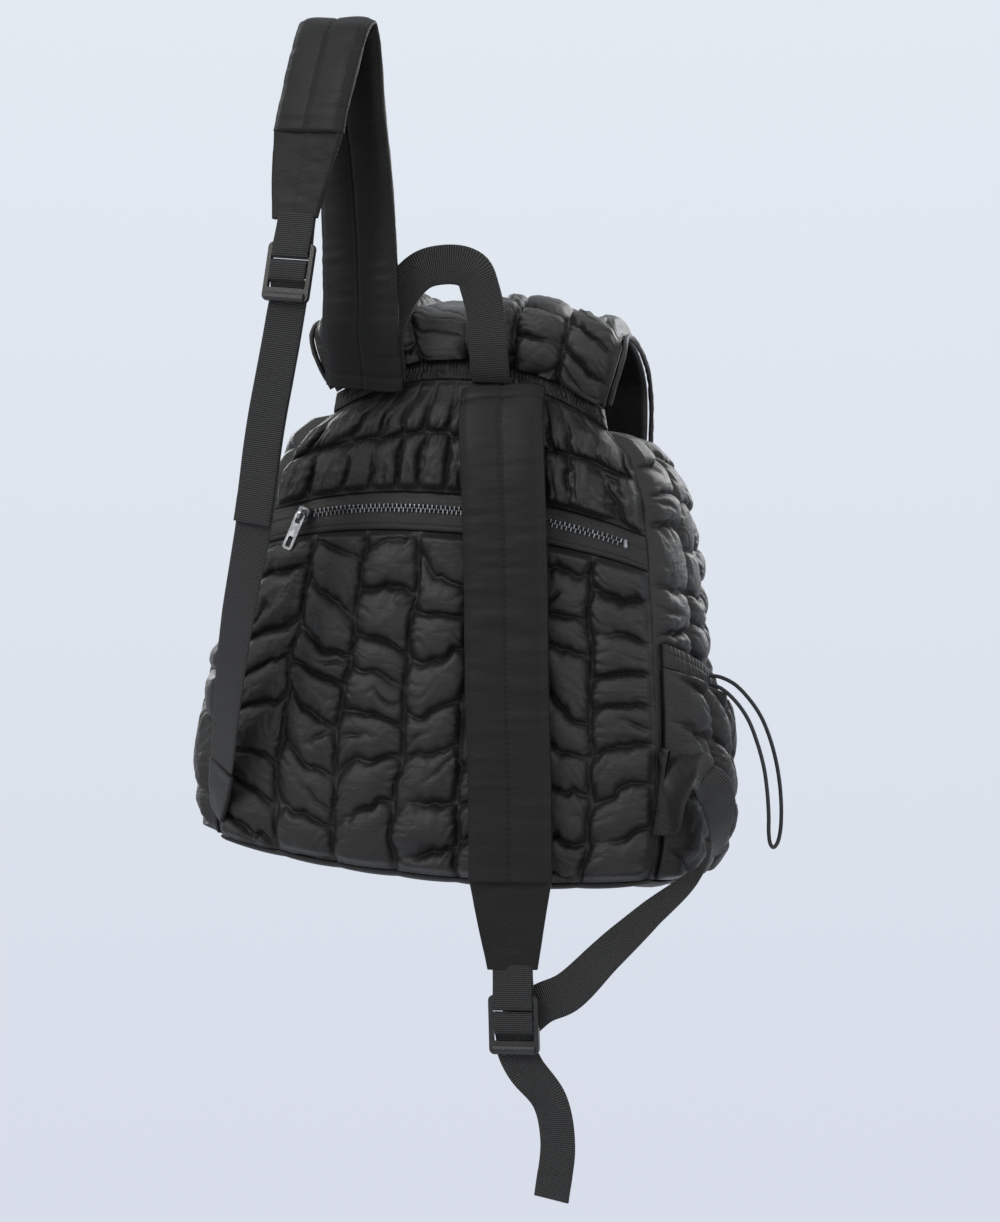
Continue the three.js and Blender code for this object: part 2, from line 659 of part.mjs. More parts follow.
function squareWindow(width, height, y) {
  const outline = new THREE.Path();
  outline.moveTo(-width / 2, y - height / 2);
  outline.lineTo(width / 2, y - height / 2);
  outline.lineTo(width / 2, y + height / 2);
  outline.lineTo(-width / 2, y + height / 2);
  outline.closePath();
  return outline;
}

// A plate standing in X and Z, its thickness centred on Y
function standingPlate(shape, thickness) {
  const plate = new THREE.ExtrudeGeometry(shape, { depth: thickness, bevelEnabled: false, curveSegments: 2 });
  plate.translate(0, 0, -thickness / 2);
  plate.rotateX(Math.PI / 2);
  return plate;
}

// The slider and its puller share the bail's hole as their hinge
const bailSeat = bailHole / 2 + 0.7;
const pullerLean = THREE.MathUtils.radToDeg(Math.asin(
  (puffCrown + 1 - gap - chainThickness - sliderHeight - bailSeat) / pullerLength,
));

function makeZipSlider() {
  const sliderPlace = chainLeft - sliderLength / 2 - gap;
  const seat = zipPoint(sliderPlace, 0);
  const slope = zipPoint(sliderPlace + 1, 0).sub(seat);
  const yaw = Math.atan2(slope.y, slope.x);
  const lift = gap * 2 + chainThickness + sliderHeight + bailSeat;
  const holder = new THREE.Group();
  holder.position.copy(seat).add(new THREE.Vector3(Math.sin(yaw) * lift, -Math.cos(yaw) * lift, 0));
  holder.rotation.set(0, THREE.MathUtils.degToRad(pullerSlant), yaw, "ZYX");
  bag.add(holder);
  // The body reaches from the tape to the bail's foot, and the bail arches round the hinge
  const bodyDepth = chainThickness + sliderHeight;
  const body = standingPlate(roundedOutline(THREE.Shape, sliderWidth, sliderLength, 2.5), bodyDepth);
  body.translate(0, bailSeat + bodyDepth / 2, 0);
  const arch = new THREE.Shape();
  arch.absarc(0, 0, bailRadius, 0, Math.PI, false);
  arch.lineTo(-bailRadius, -bailSeat - 1);
  arch.lineTo(bailRadius, -bailSeat - 1);
  arch.closePath();
  const hole = new THREE.Path();
  hole.absarc(0, 0, bailHole, 0, 2 * Math.PI, true);
  arch.holes.push(hole);
  const bail = new THREE.ExtrudeGeometry(arch, { depth: bailWidth, bevelEnabled: false, curveSegments: 8 });
  bail.translate(0, 0, -bailWidth / 2);
  // The arch's own X becomes the height and its Y the way out of the bag
  bail.applyMatrix4(new THREE.Matrix4().makeBasis(
    new THREE.Vector3(0, 0, 1),
    new THREE.Vector3(0, -1, 0),
    new THREE.Vector3(1, 0, 0),
  ));
  addPiece("zip_slider", asGeometry(asSolid(body).add(asSolid(bail))), gunmetal, holder);
  const eyeTop = 1;
  const eyeDrop = bailRadius + bailHole;
  const outline = roundedOutline(THREE.Shape, pullerWidth, pullerLength, 2.4, 0, -pullerLength / 2 + eyeTop);
  outline.holes.push(roundedOutline(THREE.Path, bailWidth + 2, eyeDrop, 1, 0, -eyeDrop / 2 - eyeTop));
  const windowWidth = pullerWidth * 0.48;
  const windowHeight = pullerLength * 0.28;
  const windowPlace = -pullerLength + windowHeight / 2 + 3.2;
  outline.holes.push(roundedOutline(THREE.Path, windowWidth, windowHeight, 1, 0, windowPlace));
  const puller = addPiece("zip_puller", standingPlate(outline, pullerThickness), gunmetal, holder);
  puller.rotation.x = THREE.MathUtils.degToRad(-pullerLean);
}

// Side pockets: a full, gathered pouch over the plain foot of each side
function pocketPoint(side, s, share, out) {
  const across = mix(pocketMargin, 1 - pocketMargin, s);
  const fromBack = side === sides.right ? s : 1 - s;
  const height = baseCorner + 1 + share * pocketHeight * (1 + pocketSlant * (0.5 - fromBack));
  const fill = readTable(pocketFill, "swell", Math.min(share, 1)) * Math.sin(Math.PI * s) ** 0.6;
  return wallPoint(side, across, height, 0, pocketSeat + pocketSwell * fill + out);
}

function makePocket(side, name) {
  const columns = sideColumns * cellsPerColumn;
  const rows = pocketRows * 4;
  const outer = grid(rows, columns, (row, column) => {
    const s = column / columns;
    const place = s * sideColumns;
    const stagger = 0.05 * Math.sin(Math.PI * row / rows) * Math.sin(Math.PI * place);
    const atRim = row === 0 || row === rows ? 0 : 1;
    const out = wall + atRim * pocketCrown * puffRelief(place, row / 4);
    return pocketPoint(side, s, row / rows + stagger, out);
  });
  const inner = grid(rows, columns, (row, column) => pocketPoint(side, column / columns, row / rows, 0));
  addPiece(`side_pocket_${name}`, wallBetween(outer, inner), nylon);
  const pleats = 16;
  const hemPoint = (row, column, out) => {
    const share = 1 + (gap + row / 2 * hemHeight) / pocketHeight;
    return pocketPoint(side, column / pleats, share, out);
  };
  const hemOuter = grid(2, pleats, (row, column) => {
    const pleat = column % 2 === 1 ? 1 : 0;
    return hemPoint(row, column, hemThickness + pleat * (row === 1 ? 1.6 : 0.6));
  });
  const hemInner = grid(1, pleats, (row, column) => hemPoint(row * 2, column, 0));
  addPiece(`pocket_hem_${name}`, wallBetween(hemOuter, hemInner), nylon);
}

function makePocketCord() {
  const points = cordPoints.map((point) => new THREE.Vector3(...point));
  addPiece("pocket_cord", rodAlong(points, cordDiameter / 2, 8, cordSteps), webbingCloth);
}

// Sections of a strap across half widths and half thicknesses, once round
const flatSection = [[-1, -1], [1, -1], [1, 1], [-1, 1]];
const paddedSection = [
  [-1, -0.45], [-0.6, -1], [0, -0.75], [0.6, -1], [1, -0.45],
  [1, 0.45], [0.6, 1], [0, 0.75], [-0.6, 1], [-1, 0.45],
];

// A route of a strap: its line, and the way its width points all along it
class Route {
  constructor(places, faces) {
    this.curve = new THREE.CatmullRomCurve3(places, false, "centripetal");
    this.curve.arcLengthDivisions = 400;
    this.faces = faces;
    this.length = this.curve.getLength();
  }

  frame(distance) {
    const share = THREE.MathUtils.clamp(distance / this.length, 0, 1);
    const at = this.curve.getPointAt(share);
    const along = this.curve.getTangentAt(share);
    const place = this.curve.getUtoTmapping(share) * (this.faces.length - 1);
    const row = Math.min(Math.floor(place), this.faces.length - 2);
    const across = this.faces[row].clone().lerp(this.faces[row + 1], place - row);
    across.addScaledVector(along, -across.dot(along)).normalize();
    const out = new THREE.Vector3().crossVectors(along, across);
    return { at, along, across, out };
  }
}

// Distances along a route in even steps
function evenly(from, to, steps) {
  return Array.from({ length: steps + 1 }, (_, step) => mix(from, to, step / steps));
}

// A closed band through distances along a route, whose width runs from one size to another
function strapPiece(route, distances, widths, thickness, section, lift = 0) {
  const steps = distances.length - 1;
  const rings = distances.map((distance) => {
    const share = (distance - distances[0]) / (distances[steps] - distances[0]);
    const { at, across, out } = route.frame(distance);
    const halfWidth = mix(widths[0], widths[1], share) / 2;
    return section.map(([a, b]) => at.clone()
      .addScaledVector(across, a * halfWidth)
      .addScaledVector(out, b * thickness / 2 + lift));
  });
  const count = section.length;
  const points = rings.flat();
  const triangles = [];
  for (let step = 0; step < steps; step += 1) {
    for (let k = 0; k < count; k += 1) {
      const next = (k + 1) % count;
      const [a, b] = [step * count + k, step * count + next];
      triangles.push([a, b, b + count], [a, b + count, a + count]);
    }
  }
  for (const end of [0, steps]) {
    const middle = rings[end].reduce((sum, p) => sum.add(p), new THREE.Vector3()).divideScalar(count);
    points.push(middle);
    for (let k = 0; k < count; k += 1) {
      const cap = [end * count + k, end * count + (k + 1) % count, points.length - 1];
      triangles.push(end === 0 ? [cap[1], cap[0], cap[2]] : cap);
    }
  }
  return closedBody(points, triangles);
}

const yawed = (turn) => {
  const angle = THREE.MathUtils.degToRad(turn);
  return new THREE.Vector3(Math.cos(angle), Math.sin(angle), 0);
};
const place = (row) => new THREE.Vector3(row.across * bagWidth, row.out * bagDepth, row.up * bagHeight);

// Distances along a strap: pad, cloth end, webbing stub, buckle
const endStart = padLength + gap;
const stubStart = endStart + endLength + gap;
const buckleCentre = stubStart + stubLength + buckleHeight / 2;

// A ladder buckle: a frame with two windows, a round lip below and a bar across its middle.
// X runs along its bars, Z up the strap, and its front faces -Y.
const topBar = buckleHeight / 2 - barHeight / 2;
const upperWindowTop = buckleHeight / 2 - barHeight;
const lowerWindowTop = upperWindowTop - upperWindow - middleBarHeight;
const lipHeight = 10;

function makeBuckle(name, frame) {
  const windowWidth = webbingWidth + 1.2;
  const lowerWindow = buckleHeight / 2 + lowerWindowTop - lipHeight;
  const outline = roundedOutline(THREE.Shape, buckleWidth, buckleHeight, 4);
  const upper = upperWindowTop - upperWindow / 2;
  const lower = lowerWindowTop - lowerWindow / 2;
  outline.holes.push(squareWindow(windowWidth, upperWindow, upper));
  outline.holes.push(squareWindow(windowWidth, lowerWindow, lower));
  const body = standingPlate(outline, buckleThickness);
  const lip = new THREE.CylinderGeometry(barHeight / 2 + 0.6, barHeight / 2 + 0.6, buckleWidth - 6, 10);
  lip.rotateZ(Math.PI / 2);
  lip.translate(0, -0.8, -buckleHeight / 2 + barHeight / 2 + 0.4);
  const buckle = addPiece(name, asGeometry(asSolid(body).add(asSolid(lip))), plastic);
  buckle.matrixAutoUpdate = false;
  const up = frame.along.clone().negate();
  buckle.matrix.makeBasis(frame.across, frame.out.clone().negate(), up).setPosition(frame.at);
}

// A band threaded through a buckle, from points out of its front and up its height
function threadedRoute(frame, rows, more = [], moreFaces = []) {
  const places = rows.map(([out, up]) => frame.at.clone()
    .addScaledVector(frame.out, out)
    .addScaledVector(frame.along, -up));
  const faces = rows.map(() => frame.across.clone());
  return new Route([...places, ...more], [...faces, ...moreFaces]);
}

const around = buckleThickness / 2 + webbingThickness / 2 + 0.4;
const slack = webbingThickness / 2 + 0.45;

// A band's turn over the top edge of a bar, from behind it to its front, and its turn under a bar's foot
function loopOver(edge) {
  return [
    [-around, edge - 2], [-around * 0.92, edge + 0.9], [-around * 0.5, edge + 2.1], [0, edge + 2.4],
    [around * 0.5, edge + 2.1], [around * 0.92, edge + 0.9], [around, edge - 2],
  ];
}

function loopUnder(edge) {
  return loopOver(-edge).map(([out, up]) => [-out, -up]);
}

// The stub's webbing goes round the top bar and back into the strap's end
function makeStub(name, frame) {
  const top = buckleHeight / 2 + stubLength - 4 * gap;
  const rows = [
    [slack, top], [slack + 0.4, top - stubLength * 0.5], [around, topBar + 1],
    ...loopUnder(upperWindowTop),
    [-around, topBar + 1], [-slack - 0.4, top - stubLength * 0.5], [-slack, top],
  ];
  const route = threadedRoute(frame, rows);
  const widths = [webbingWidth, webbingWidth];
  addPiece(name, strapPiece(route, evenly(0, route.length, 28), widths, webbingThickness, flatSection), webbingCloth);
}

// The adjustable end: behind the middle bar, over its front and out behind the lip
function tailRows() {
  const underTurn = loopUnder(lowerWindowTop).slice(0, 4);
  return [
    [-around, lowerWindowTop + 1],
    ...loopOver(upperWindowTop - upperWindow),
    ...underTurn,
    [-around * 0.6, lowerWindowTop - 4.4],
    [-around - 0.3, lowerWindowTop - 8.5],
    [-around - 1, lowerWindowTop - lipHeight - 4.6],
  ];
}

// Close steps where the tail turns in the buckle, then wide ones
function tailPlacesAlong(tail) {
  const turns = buckleHeight + 4;
  return [...evenly(0, turns, 24), ...evenly(turns, tail.length, 8).slice(1)];
}

function makeStrap(name, route) {
  const padSteps = name === "left" ? 28 : 14;
  const pad = strapPiece(route, evenly(0, padLength, padSteps), [padWidth, padWidth], padThickness, paddedSection);
  addPiece(`${name}_strap_pad`, pad, nylon);
  const endPlaces = evenly(endStart, endStart + endLength, 4);
  const end = strapPiece(route, endPlaces, [padWidth - 6, endWidth], endThickness, flatSection);
  addPiece(`${name}_strap_end`, end, nylon);
  const frame = route.frame(buckleCentre);
  makeStub(`${name}_strap_stub`, frame);
  makeBuckle(`${name}_buckle`, frame);
  return frame;
}

// The left strap: over the arch, down in front, and its tail lying on its own webbing
function makeLeftStrap() {
  const route = new Route(leftRouteRows.map(place), leftRouteRows.map((row) => yawed(row.turn)));
  const frame = makeStrap("left", route);
  const bare = [webbingWidth, webbingWidth];
  // Below the buckle the webbing lies behind the strap's line and the tail in front of it
  const tailStart = buckleCentre + buckleHeight / 2 + 6;
  const tailSteps = 6;
  const tailPlaces = [];
  const tailFaces = [];
  for (let step = 0; step <= tailSteps; step += 1) {
    const below = route.frame(mix(tailStart, buckleCentre + leftTailLength, step / tailSteps));
    tailPlaces.push(below.at.clone().addScaledVector(below.out, -around - 1 + step * 0.2));
    tailFaces.push(below.across);
  }
  const tail = threadedRoute(frame, tailRows(), tailPlaces, tailFaces);
  const leftTail = strapPiece(tail, tailPlacesAlong(tail), bare, webbingThickness, flatSection);
  addPiece("left_tail", leftTail, webbingCloth);
  const behind = around + webbingThickness + 1.8;
  const start = buckleCentre + middleBarHeight / 2;
  const places = evenly(start, route.length, 20);
  const webbing = strapPiece(route, places, bare, webbingThickness, flatSection, -behind);
  addPiece("left_webbing", webbing, webbingCloth);
  const foot = route.frame(route.length);
  const tabTop = foot.at.clone().addScaledVector(foot.out, -behind).addScaledVector(foot.along, 5 * gap);
  const corner = wallPoint(sides.left, 1, baseCorner + 16, 0, 0);
  corner.y -= wall + gap;
  const tabRoute = new Route([tabTop, tabTop.clone().lerp(corner, 0.5), corner],
    [foot.across, foot.across, yawed(-50)]);
  const tabWidths = [webbingWidth + 2, webbingWidth - 8];
  const tab = strapPiece(tabRoute, evenly(0, tabRoute.length, 3), tabWidths, wall, flatSection);
  addPiece("left_tab", tab, nylon);
}

// The right strap: down the back from the seam, its tail hanging free and its webbing going to the far corner
function makeRightStrap() {
  const restY = (row) => {
    const face = backFace(row.across * bagWidth, Math.max(row.up, restHeight) * bagHeight);
    return face.y - puffCrown * seamFlattening(face.height) - gap - padThickness / 2;
  };
  const places = rightRouteRows.map((row) => (
    new THREE.Vector3(row.across * bagWidth, restY(row), row.up * bagHeight)
  ));
  const route = new Route(places, rightRouteRows.map((row) => yawed(row.turn)));
  const frame = makeStrap("right", route);
  const bare = [webbingWidth, webbingWidth];
  const foot = frame.at.clone().addScaledVector(frame.out, -around - 1);
  foot.z -= buckleHeight / 2;
  const tailPlaces = rightTailRows.map((row) => foot.clone().add(new THREE.Vector3(
    row.side * rightTailLength,
    row.back * rightTailLength,
    -row.down * rightTailLength,
  )));
  const tail = threadedRoute(frame, tailRows(), tailPlaces, rightTailRows.map((row) => yawed(row.turn)));
  const rightTail = strapPiece(tail, tailPlacesAlong(tail), bare, webbingThickness, flatSection);
  addPiece("right_tail", rightTail, webbingCloth);
  // The webbing ends flat behind the buckle, under the tail's turn
  const behind = around + webbingThickness + 1.6;
  const back = frame.at.clone().addScaledVector(frame.out, -behind);
  const nearBuckle = back.clone().add(new THREE.Vector3(buckleWidth * 0.45, 0, buckleHeight * 0.36));
  const behindBuckle = back.clone().add(new THREE.Vector3(-buckleWidth * 0.05, 0, -buckleHeight * 0.1));
  const rows = rightWebbingRows.map(place);
  const faces = rightWebbingRows.map((row) => new THREE.Vector3(...row.face).normalize());
  const flat = new THREE.Vector3(-0.68, 0, 0.73);
  const webbing = new Route([...rows, nearBuckle, behindBuckle], [...faces, flat, flat]);
  const band = strapPiece(webbing, evenly(0, webbing.length, 30), bare, webbingThickness, flatSection);
  addPiece("right_webbing", band, webbingCloth);
  // The tab: a cloth triangle from the corner seam to the end of the webbing
  const tip = webbing.frame(0);
  const seam = wallPoint(sides.back, 1, baseCorner + tabWidth / 2, 0, 0);
  seam.x += 2 * gap;
  seam.y -= wall / 2 + gap;
  seam.z = tabMiddle;
  const level = seam.clone().add(new THREE.Vector3(2 * wall, -wall, 0));
  const tabEnd = tip.at.clone().addScaledVector(tip.along, -2 * gap);
  const beforeEnd = tabEnd.clone().addScaledVector(tip.along, -2 * wall);
  const upright = new THREE.Vector3(0, 0, 1);
  const tabRoute = new Route([seam, level, beforeEnd, tabEnd], [upright, upright, tip.across, tip.across]);
  const tabPlaces = evenly(0, tabRoute.length, 5);
  const tab = strapPiece(tabRoute, tabPlaces, [tabWidth, webbingWidth + 3], wall, flatSection);
  addPiece("right_tab", tab, nylon);
}

// The grab handle: a loop of webbing whose feet are sewn to the seam band
function makeHandle() {
  const places = handleRows.map(place);
  const route = new Route(places, handleRows.map((row) => new THREE.Vector3(...row.face).normalize()));
  const widths = [webbingWidth, webbingWidth];
  const handle = strapPiece(route, evenly(0, route.length, 26), widths, handleThickness, flatSection);
  addPiece("grab_handle", handle, webbingCloth);
}

makeBody();
makeBase();
makeFlap();
makeSeamBand();
makeFlapBinding();
makeZipTape();
makeZipChain();
makeZipSlider();
makePocket(sides.right, "right");
makePocket(sides.left, "left");
makePocketCord();
makeLeftStrap();
makeRightStrap();
makeHandle();

// The bag hangs from the underside of the left arch, turned a little by its own weight
const hangPoint = place(hangRow);
hangPoint.z -= padThickness / 2;
bag.rotation.y = THREE.MathUtils.degToRad(hangTilt);
bag.position.copy(hangPoint.applyEuler(bag.rotation).negate());

const backpack = new THREE.Group();
backpack.name = "quilted_puffer_backpack";
backpack.add(bag);

export default backpack;
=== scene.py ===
# %% [markdown]
# # A quilted puffer backpack
#
# The bag hangs from its left strap. Every piece is built in the bag's own frame, in millimetres:
# x runs across the back, y from the wearer to the front, z up from the base. Then it is turned by
# the tilt that the bag hangs at and moved so that the hook's place is the origin. The part's solids
# are loaded first, because each piece made here has to lie where its solid lies.

# %% A quilted puffer backpack
import json
import math

import bmesh
import bpy
import numpy as np
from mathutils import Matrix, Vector

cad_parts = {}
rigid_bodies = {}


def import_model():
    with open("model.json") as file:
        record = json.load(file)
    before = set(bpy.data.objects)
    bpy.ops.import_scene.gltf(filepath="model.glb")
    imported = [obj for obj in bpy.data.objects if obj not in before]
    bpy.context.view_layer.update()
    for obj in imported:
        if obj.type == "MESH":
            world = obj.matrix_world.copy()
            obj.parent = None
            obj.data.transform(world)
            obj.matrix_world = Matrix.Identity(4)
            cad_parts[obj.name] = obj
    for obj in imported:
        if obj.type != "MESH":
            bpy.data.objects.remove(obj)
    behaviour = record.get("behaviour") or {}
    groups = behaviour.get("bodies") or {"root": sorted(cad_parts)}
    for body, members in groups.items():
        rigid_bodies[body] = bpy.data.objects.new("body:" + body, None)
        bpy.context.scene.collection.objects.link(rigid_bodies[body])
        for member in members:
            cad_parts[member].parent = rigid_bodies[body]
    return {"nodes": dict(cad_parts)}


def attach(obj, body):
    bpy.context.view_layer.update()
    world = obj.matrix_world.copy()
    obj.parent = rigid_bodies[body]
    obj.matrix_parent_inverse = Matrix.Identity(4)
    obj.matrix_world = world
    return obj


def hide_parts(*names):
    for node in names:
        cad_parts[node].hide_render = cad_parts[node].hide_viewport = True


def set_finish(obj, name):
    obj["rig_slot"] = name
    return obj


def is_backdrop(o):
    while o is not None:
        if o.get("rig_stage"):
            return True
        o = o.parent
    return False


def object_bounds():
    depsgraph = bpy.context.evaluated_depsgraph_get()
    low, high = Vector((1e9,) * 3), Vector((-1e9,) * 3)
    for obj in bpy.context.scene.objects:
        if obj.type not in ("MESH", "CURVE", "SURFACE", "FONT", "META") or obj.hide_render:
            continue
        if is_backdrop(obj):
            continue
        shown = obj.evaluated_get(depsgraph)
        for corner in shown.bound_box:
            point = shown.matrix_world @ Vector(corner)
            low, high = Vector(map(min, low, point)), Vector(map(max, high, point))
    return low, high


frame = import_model()
cad_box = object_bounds()
nodes = frame["nodes"]
print("solids loaded:", len(nodes))

# %% [markdown]
# ## The camera
#
# It stands 15 degrees to the wearer's right and looks level, two metres away, with a lens that gives
# 0.75 mm for each of the picture's 1222 pixels of height. A long lens from far off keeps the strap's
# arch and the base at one scale, as they are in the photograph.


# %% The camera
def new_object(name, data):
    made = bpy.data.objects.new(name, data)
    bpy.context.scene.collection.objects.link(made)
    return made


camera_data = bpy.data.cameras.new("camera")
camera_data.lens = 78.56
camera_data.sensor_width = 36
camera = new_object("camera", camera_data)
camera.location = (0.635, -1.9004, -0.4335)
camera.rotation_euler = (math.radians(90), 0, math.radians(15))
bpy.context.scene.camera = camera
bpy.context.scene.view_settings.view_transform = "Standard"
print("camera at", tuple(camera.location))

# %% [markdown]
# ## Measures
#
# The bag's main sizes repeat the part's own, in millimetres. Sizes of one piece stand in that piece's
# cell. GAP is what two pieces that lie on each other keep between them.

# %% Measures
BAG_HEIGHT, BAG_WIDTH, BAG_DEPTH = 375, 347, 155
HANG_TILT = math.radians(4.5)
HANG_PLACE = np.array([59.0, 40.0, -632.0])
GAP = 0.3
WALL = 3


def mix(a, b, share):
    return a + (b - a) * share


def smooth(x, low, high):
    """0 below low, 1 above high, and an S between them."""
    t = np.clip((x - low) / (high - low), 0, 1)
    return t * t * (3 - 2 * t)


def world(points):
    """Points of the bag's own frame, in mm, as world points in metres."""
    p = np.asarray(points, float)
    cos, sin = math.cos(HANG_TILT), math.sin(HANG_TILT)
    x = p[..., 0] * cos + p[..., 2] * sin
    z = -p[..., 0] * sin + p[..., 2] * cos
    return (np.stack([x, p[..., 1], z], axis=-1) + HANG_PLACE) / 1000


print("the base's middle hangs at", world([0, BAG_DEPTH / 2, 0]).round(3))

# %% [markdown]
# ## Lines
#
# Straps, the cord, the handle and the flap's fold all follow a smooth line through chosen points. A
# curve object could do this, but its points can't be asked for places by distance, and a webbing needs
# to know at each place which way its width faces. So the line is worked out here, by the rule that the
# part uses, and a piece made along it lies where the part has it.


# %% Lines
def between(x, known, table):
    """Points of a table read between its known places."""
    return np.stack([np.interp(x, known, table[:, k]) for k in range(3)], axis=-1)


class Line:
    """A smooth line through points, with the way its width faces, and places along it by distance."""

    def __init__(self, places, faces=None, fine=60):
        p = np.asarray(places, float)
        p = np.vstack([2 * p[0] - p[1], p, 2 * p[-1] - p[-2]])
        found = []
        for k in range(len(p) - 3):
            a, b, c, d = p[k:k + 4]
            d0, d1, d2 = [max(np.linalg.norm(v), 1e-4) ** 0.5 for v in (b - a, c - b, d - c)]
            m1 = d1 * ((b - a) / d0 - (c - a) / (d0 + d1) + (c - b) / d1)
            m2 = d1 * ((c - b) / d1 - (d - b) / (d1 + d2) + (d - c) / d2)
            last = k == len(p) - 4
            t = np.linspace(0, 1, fine + 1)[: None if last else -1, None]
            found.append(b + m1 * t + (3 * c - 3 * b - 2 * m1 - m2) * t ** 2
                         + (2 * b - 2 * c + m1 + m2) * t ** 3)
        self.points = np.vstack(found)
        steps = np.linalg.norm(np.diff(self.points, axis=0), axis=1)
        self.distances = np.concatenate([[0], np.cumsum(steps)])
        self.length = self.distances[-1]
        self.places = np.linspace(0, 1, len(self.points))
        self.tangents = np.gradient(self.points, axis=0)
        self.tangents /= np.linalg.norm(self.tangents, axis=1)[:, None]
        self.faces = None if faces is None else np.asarray(faces, float)

    def at(self, distance):
        return between(distance, self.distances, self.points)

    def frame(self, distance):
        """Where the line is, the way it goes, its width's way and the way out of its face."""
        distance = np.asarray(distance, float)
        along = between(distance, self.distances, self.tangents)
        along /= np.linalg.norm(along, axis=-1, keepdims=True)
        place = np.interp(distance, self.distances, self.places) * (len(self.faces) - 1)
        across = between(place, np.arange(len(self.faces)), self.faces)
        across -= along * np.sum(along * across, axis=-1, keepdims=True)
        across /= np.linalg.norm(across, axis=-1, keepdims=True)
        return self.at(distance), along, across, np.cross(along, across)

    def frame_at(self, distance):
        return [found[0] for found in self.frame([distance])]


# %% [markdown]
# ## Grids and pads
#
# A quilted panel is a pad of cloth. It could be a box with modifiers, but then its folds couldn't be
# told where the stitches are. Here a pad is a dense grid of points for the side that is seen and a
# coarse one for the side that isn't, joined at the rim, so that the triangles go where the eye does.
# Each mesh carries a UV map in metres.


# %% Grids and pads
def as_object(name, points, faces, uv=None, shade=True):
    mesh = bpy.data.meshes.new(name)
    mesh.from_pydata(world(points).tolist(), [], faces)
    mesh.update()
    if uv is not None:
        layer = mesh.uv_layers.new(name="UVMap")
        corner = np.empty(len(mesh.loops), np.int32)
        mesh.loops.foreach_get("vertex_index", corner)
        layer.data.foreach_set("uv", np.asarray(uv, np.float32)[corner].ravel())
    work = bmesh.new()
    work.from_mesh(mesh)
    bmesh.ops.recalc_face_normals(work, faces=work.faces)
    work.to_mesh(mesh)
    work.free()
    if shade:
        mesh.polygons.foreach_set("use_smooth", np.ones(len(mesh.polygons), bool))
    return new_object(name, mesh)


def quads(rows, columns, first=0, wrap=False):
    """The faces of a grid of points, rows by columns."""
    r, c = np.meshgrid(np.arange(rows - 1), np.arange(columns if wrap else columns - 1), indexing="ij")
    n = (c + 1) % columns
    ids = np.stack([r * columns + c, r * columns + n, (r + 1) * columns + n, (r + 1) * columns + c], -1)
    return (ids.reshape(-1, 4) + first).tolist()


def shares(across, up):
    """Two grids from 0 to 1: how far across and how far up each point is."""
    return np.broadcast_arrays(np.linspace(0, 1, across + 1)[None, :], np.linspace(0, 1, up + 1)[:, None])


def pad_object(name, outer, inner, step, uv):
    """A closed pad from an outer grid and every step-th point of an inner one."""
    rows, columns = outer.shape[:2]
    low = inner[::step, ::step]
    r2, c2 = low.shape[:2]
    points = np.vstack([outer.reshape(-1, 3), low.reshape(-1, 3)])
    first = rows * columns
    faces = quads(rows, columns) + quads(r2, c2, first)
    for k in range(c2 - 1):
        for row, row2 in ((0, 0), (rows - 1, r2 - 1)):
            edge = [row * columns + j for j in range(k * step, (k + 1) * step + 1)]
            faces.append(edge + [first + row2 * c2 + k + 1, first + row2 * c2 + k])
    for k in range(r2 - 1):
        for column, column2 in ((0, 0), (columns - 1, c2 - 1)):
            edge = [j * columns + column for j in range(k * step, (k + 1) * step + 1)]
            faces.append(edge + [first + (k + 1) * c2 + column2, first + k * c2 + column2])
    both = np.vstack([uv.reshape(-1, 2), uv[::step, ::step].reshape(-1, 2)])
    return as_object(name, points, faces, both)


def settle(piece, slot, *replaced, body="bag"):
    """The piece rides on its body, stands for its CAD nodes and takes its slot's finish."""
    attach(piece, body)
    if replaced:
        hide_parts(*replaced)
    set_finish(piece, slot)
    return piece


# %% [markdown]
# ## Bands and rods
#
# Straps and webbing are bands: one shape across, carried along a line. The cord and the flap's rolled
# edge are rods. A curve with a bevel gives both, but takes no folds or ribs of its own, so they are
# rings of points joined to a tube. A relief function may lift each point a little out of the face.

# %% Bands and rods
RING_STEP = 1.6


def rod_faces(rings, sides, first=0):
    """The faces of a tube of rings, with one face over each end."""
    last = first + (rings - 1) * sides
    ends = [list(range(first, first + sides))[::-1], list(range(last, last + sides))]
    return quads(rings, sides, first, wrap=True) + ends


def band_object(name, line, start, end, widths, thickness, steps, profile, lift=0.0, relief=None):
    """A closed band along a line. profile gives places across, -1 to 1, and thickness shares."""
    distance = np.linspace(start, end, steps + 1)
    at, _, across, out = line.frame(distance)
    a, b = profile[:, 0], profile[:, 1]
    from_middle = a[None, :] * np.interp(distance, [start, end], widths)[:, None] / 2
    rise = b[None, :] * thickness / 2 + lift
    if relief is not None:
        rise = rise + relief(distance[:, None], from_middle, np.sign(b)[None, :])
    points = at[:, None] + across[:, None] * from_middle[..., None] + out[:, None] * rise[..., None]
    uv = np.stack(np.broadcast_arrays((distance[:, None] - start) / 1000, from_middle / 1000), -1)
    return as_object(name, points.reshape(-1, 3), rod_faces(steps + 1, len(profile)), uv.reshape(-1, 2))


def flat_profile(count=9, edge=0.45):
    """Webbing across: flat faces and soft edges."""
    a = np.linspace(-0.975, 0.975, count)
    top = [[x, 1.0] for x in a]
    under = [[x, -1.0] for x in a[::-1]]
    return np.array(top + [[1.0, edge], [1.0, -edge]] + under + [[-1.0, -edge], [-1.0, edge]])


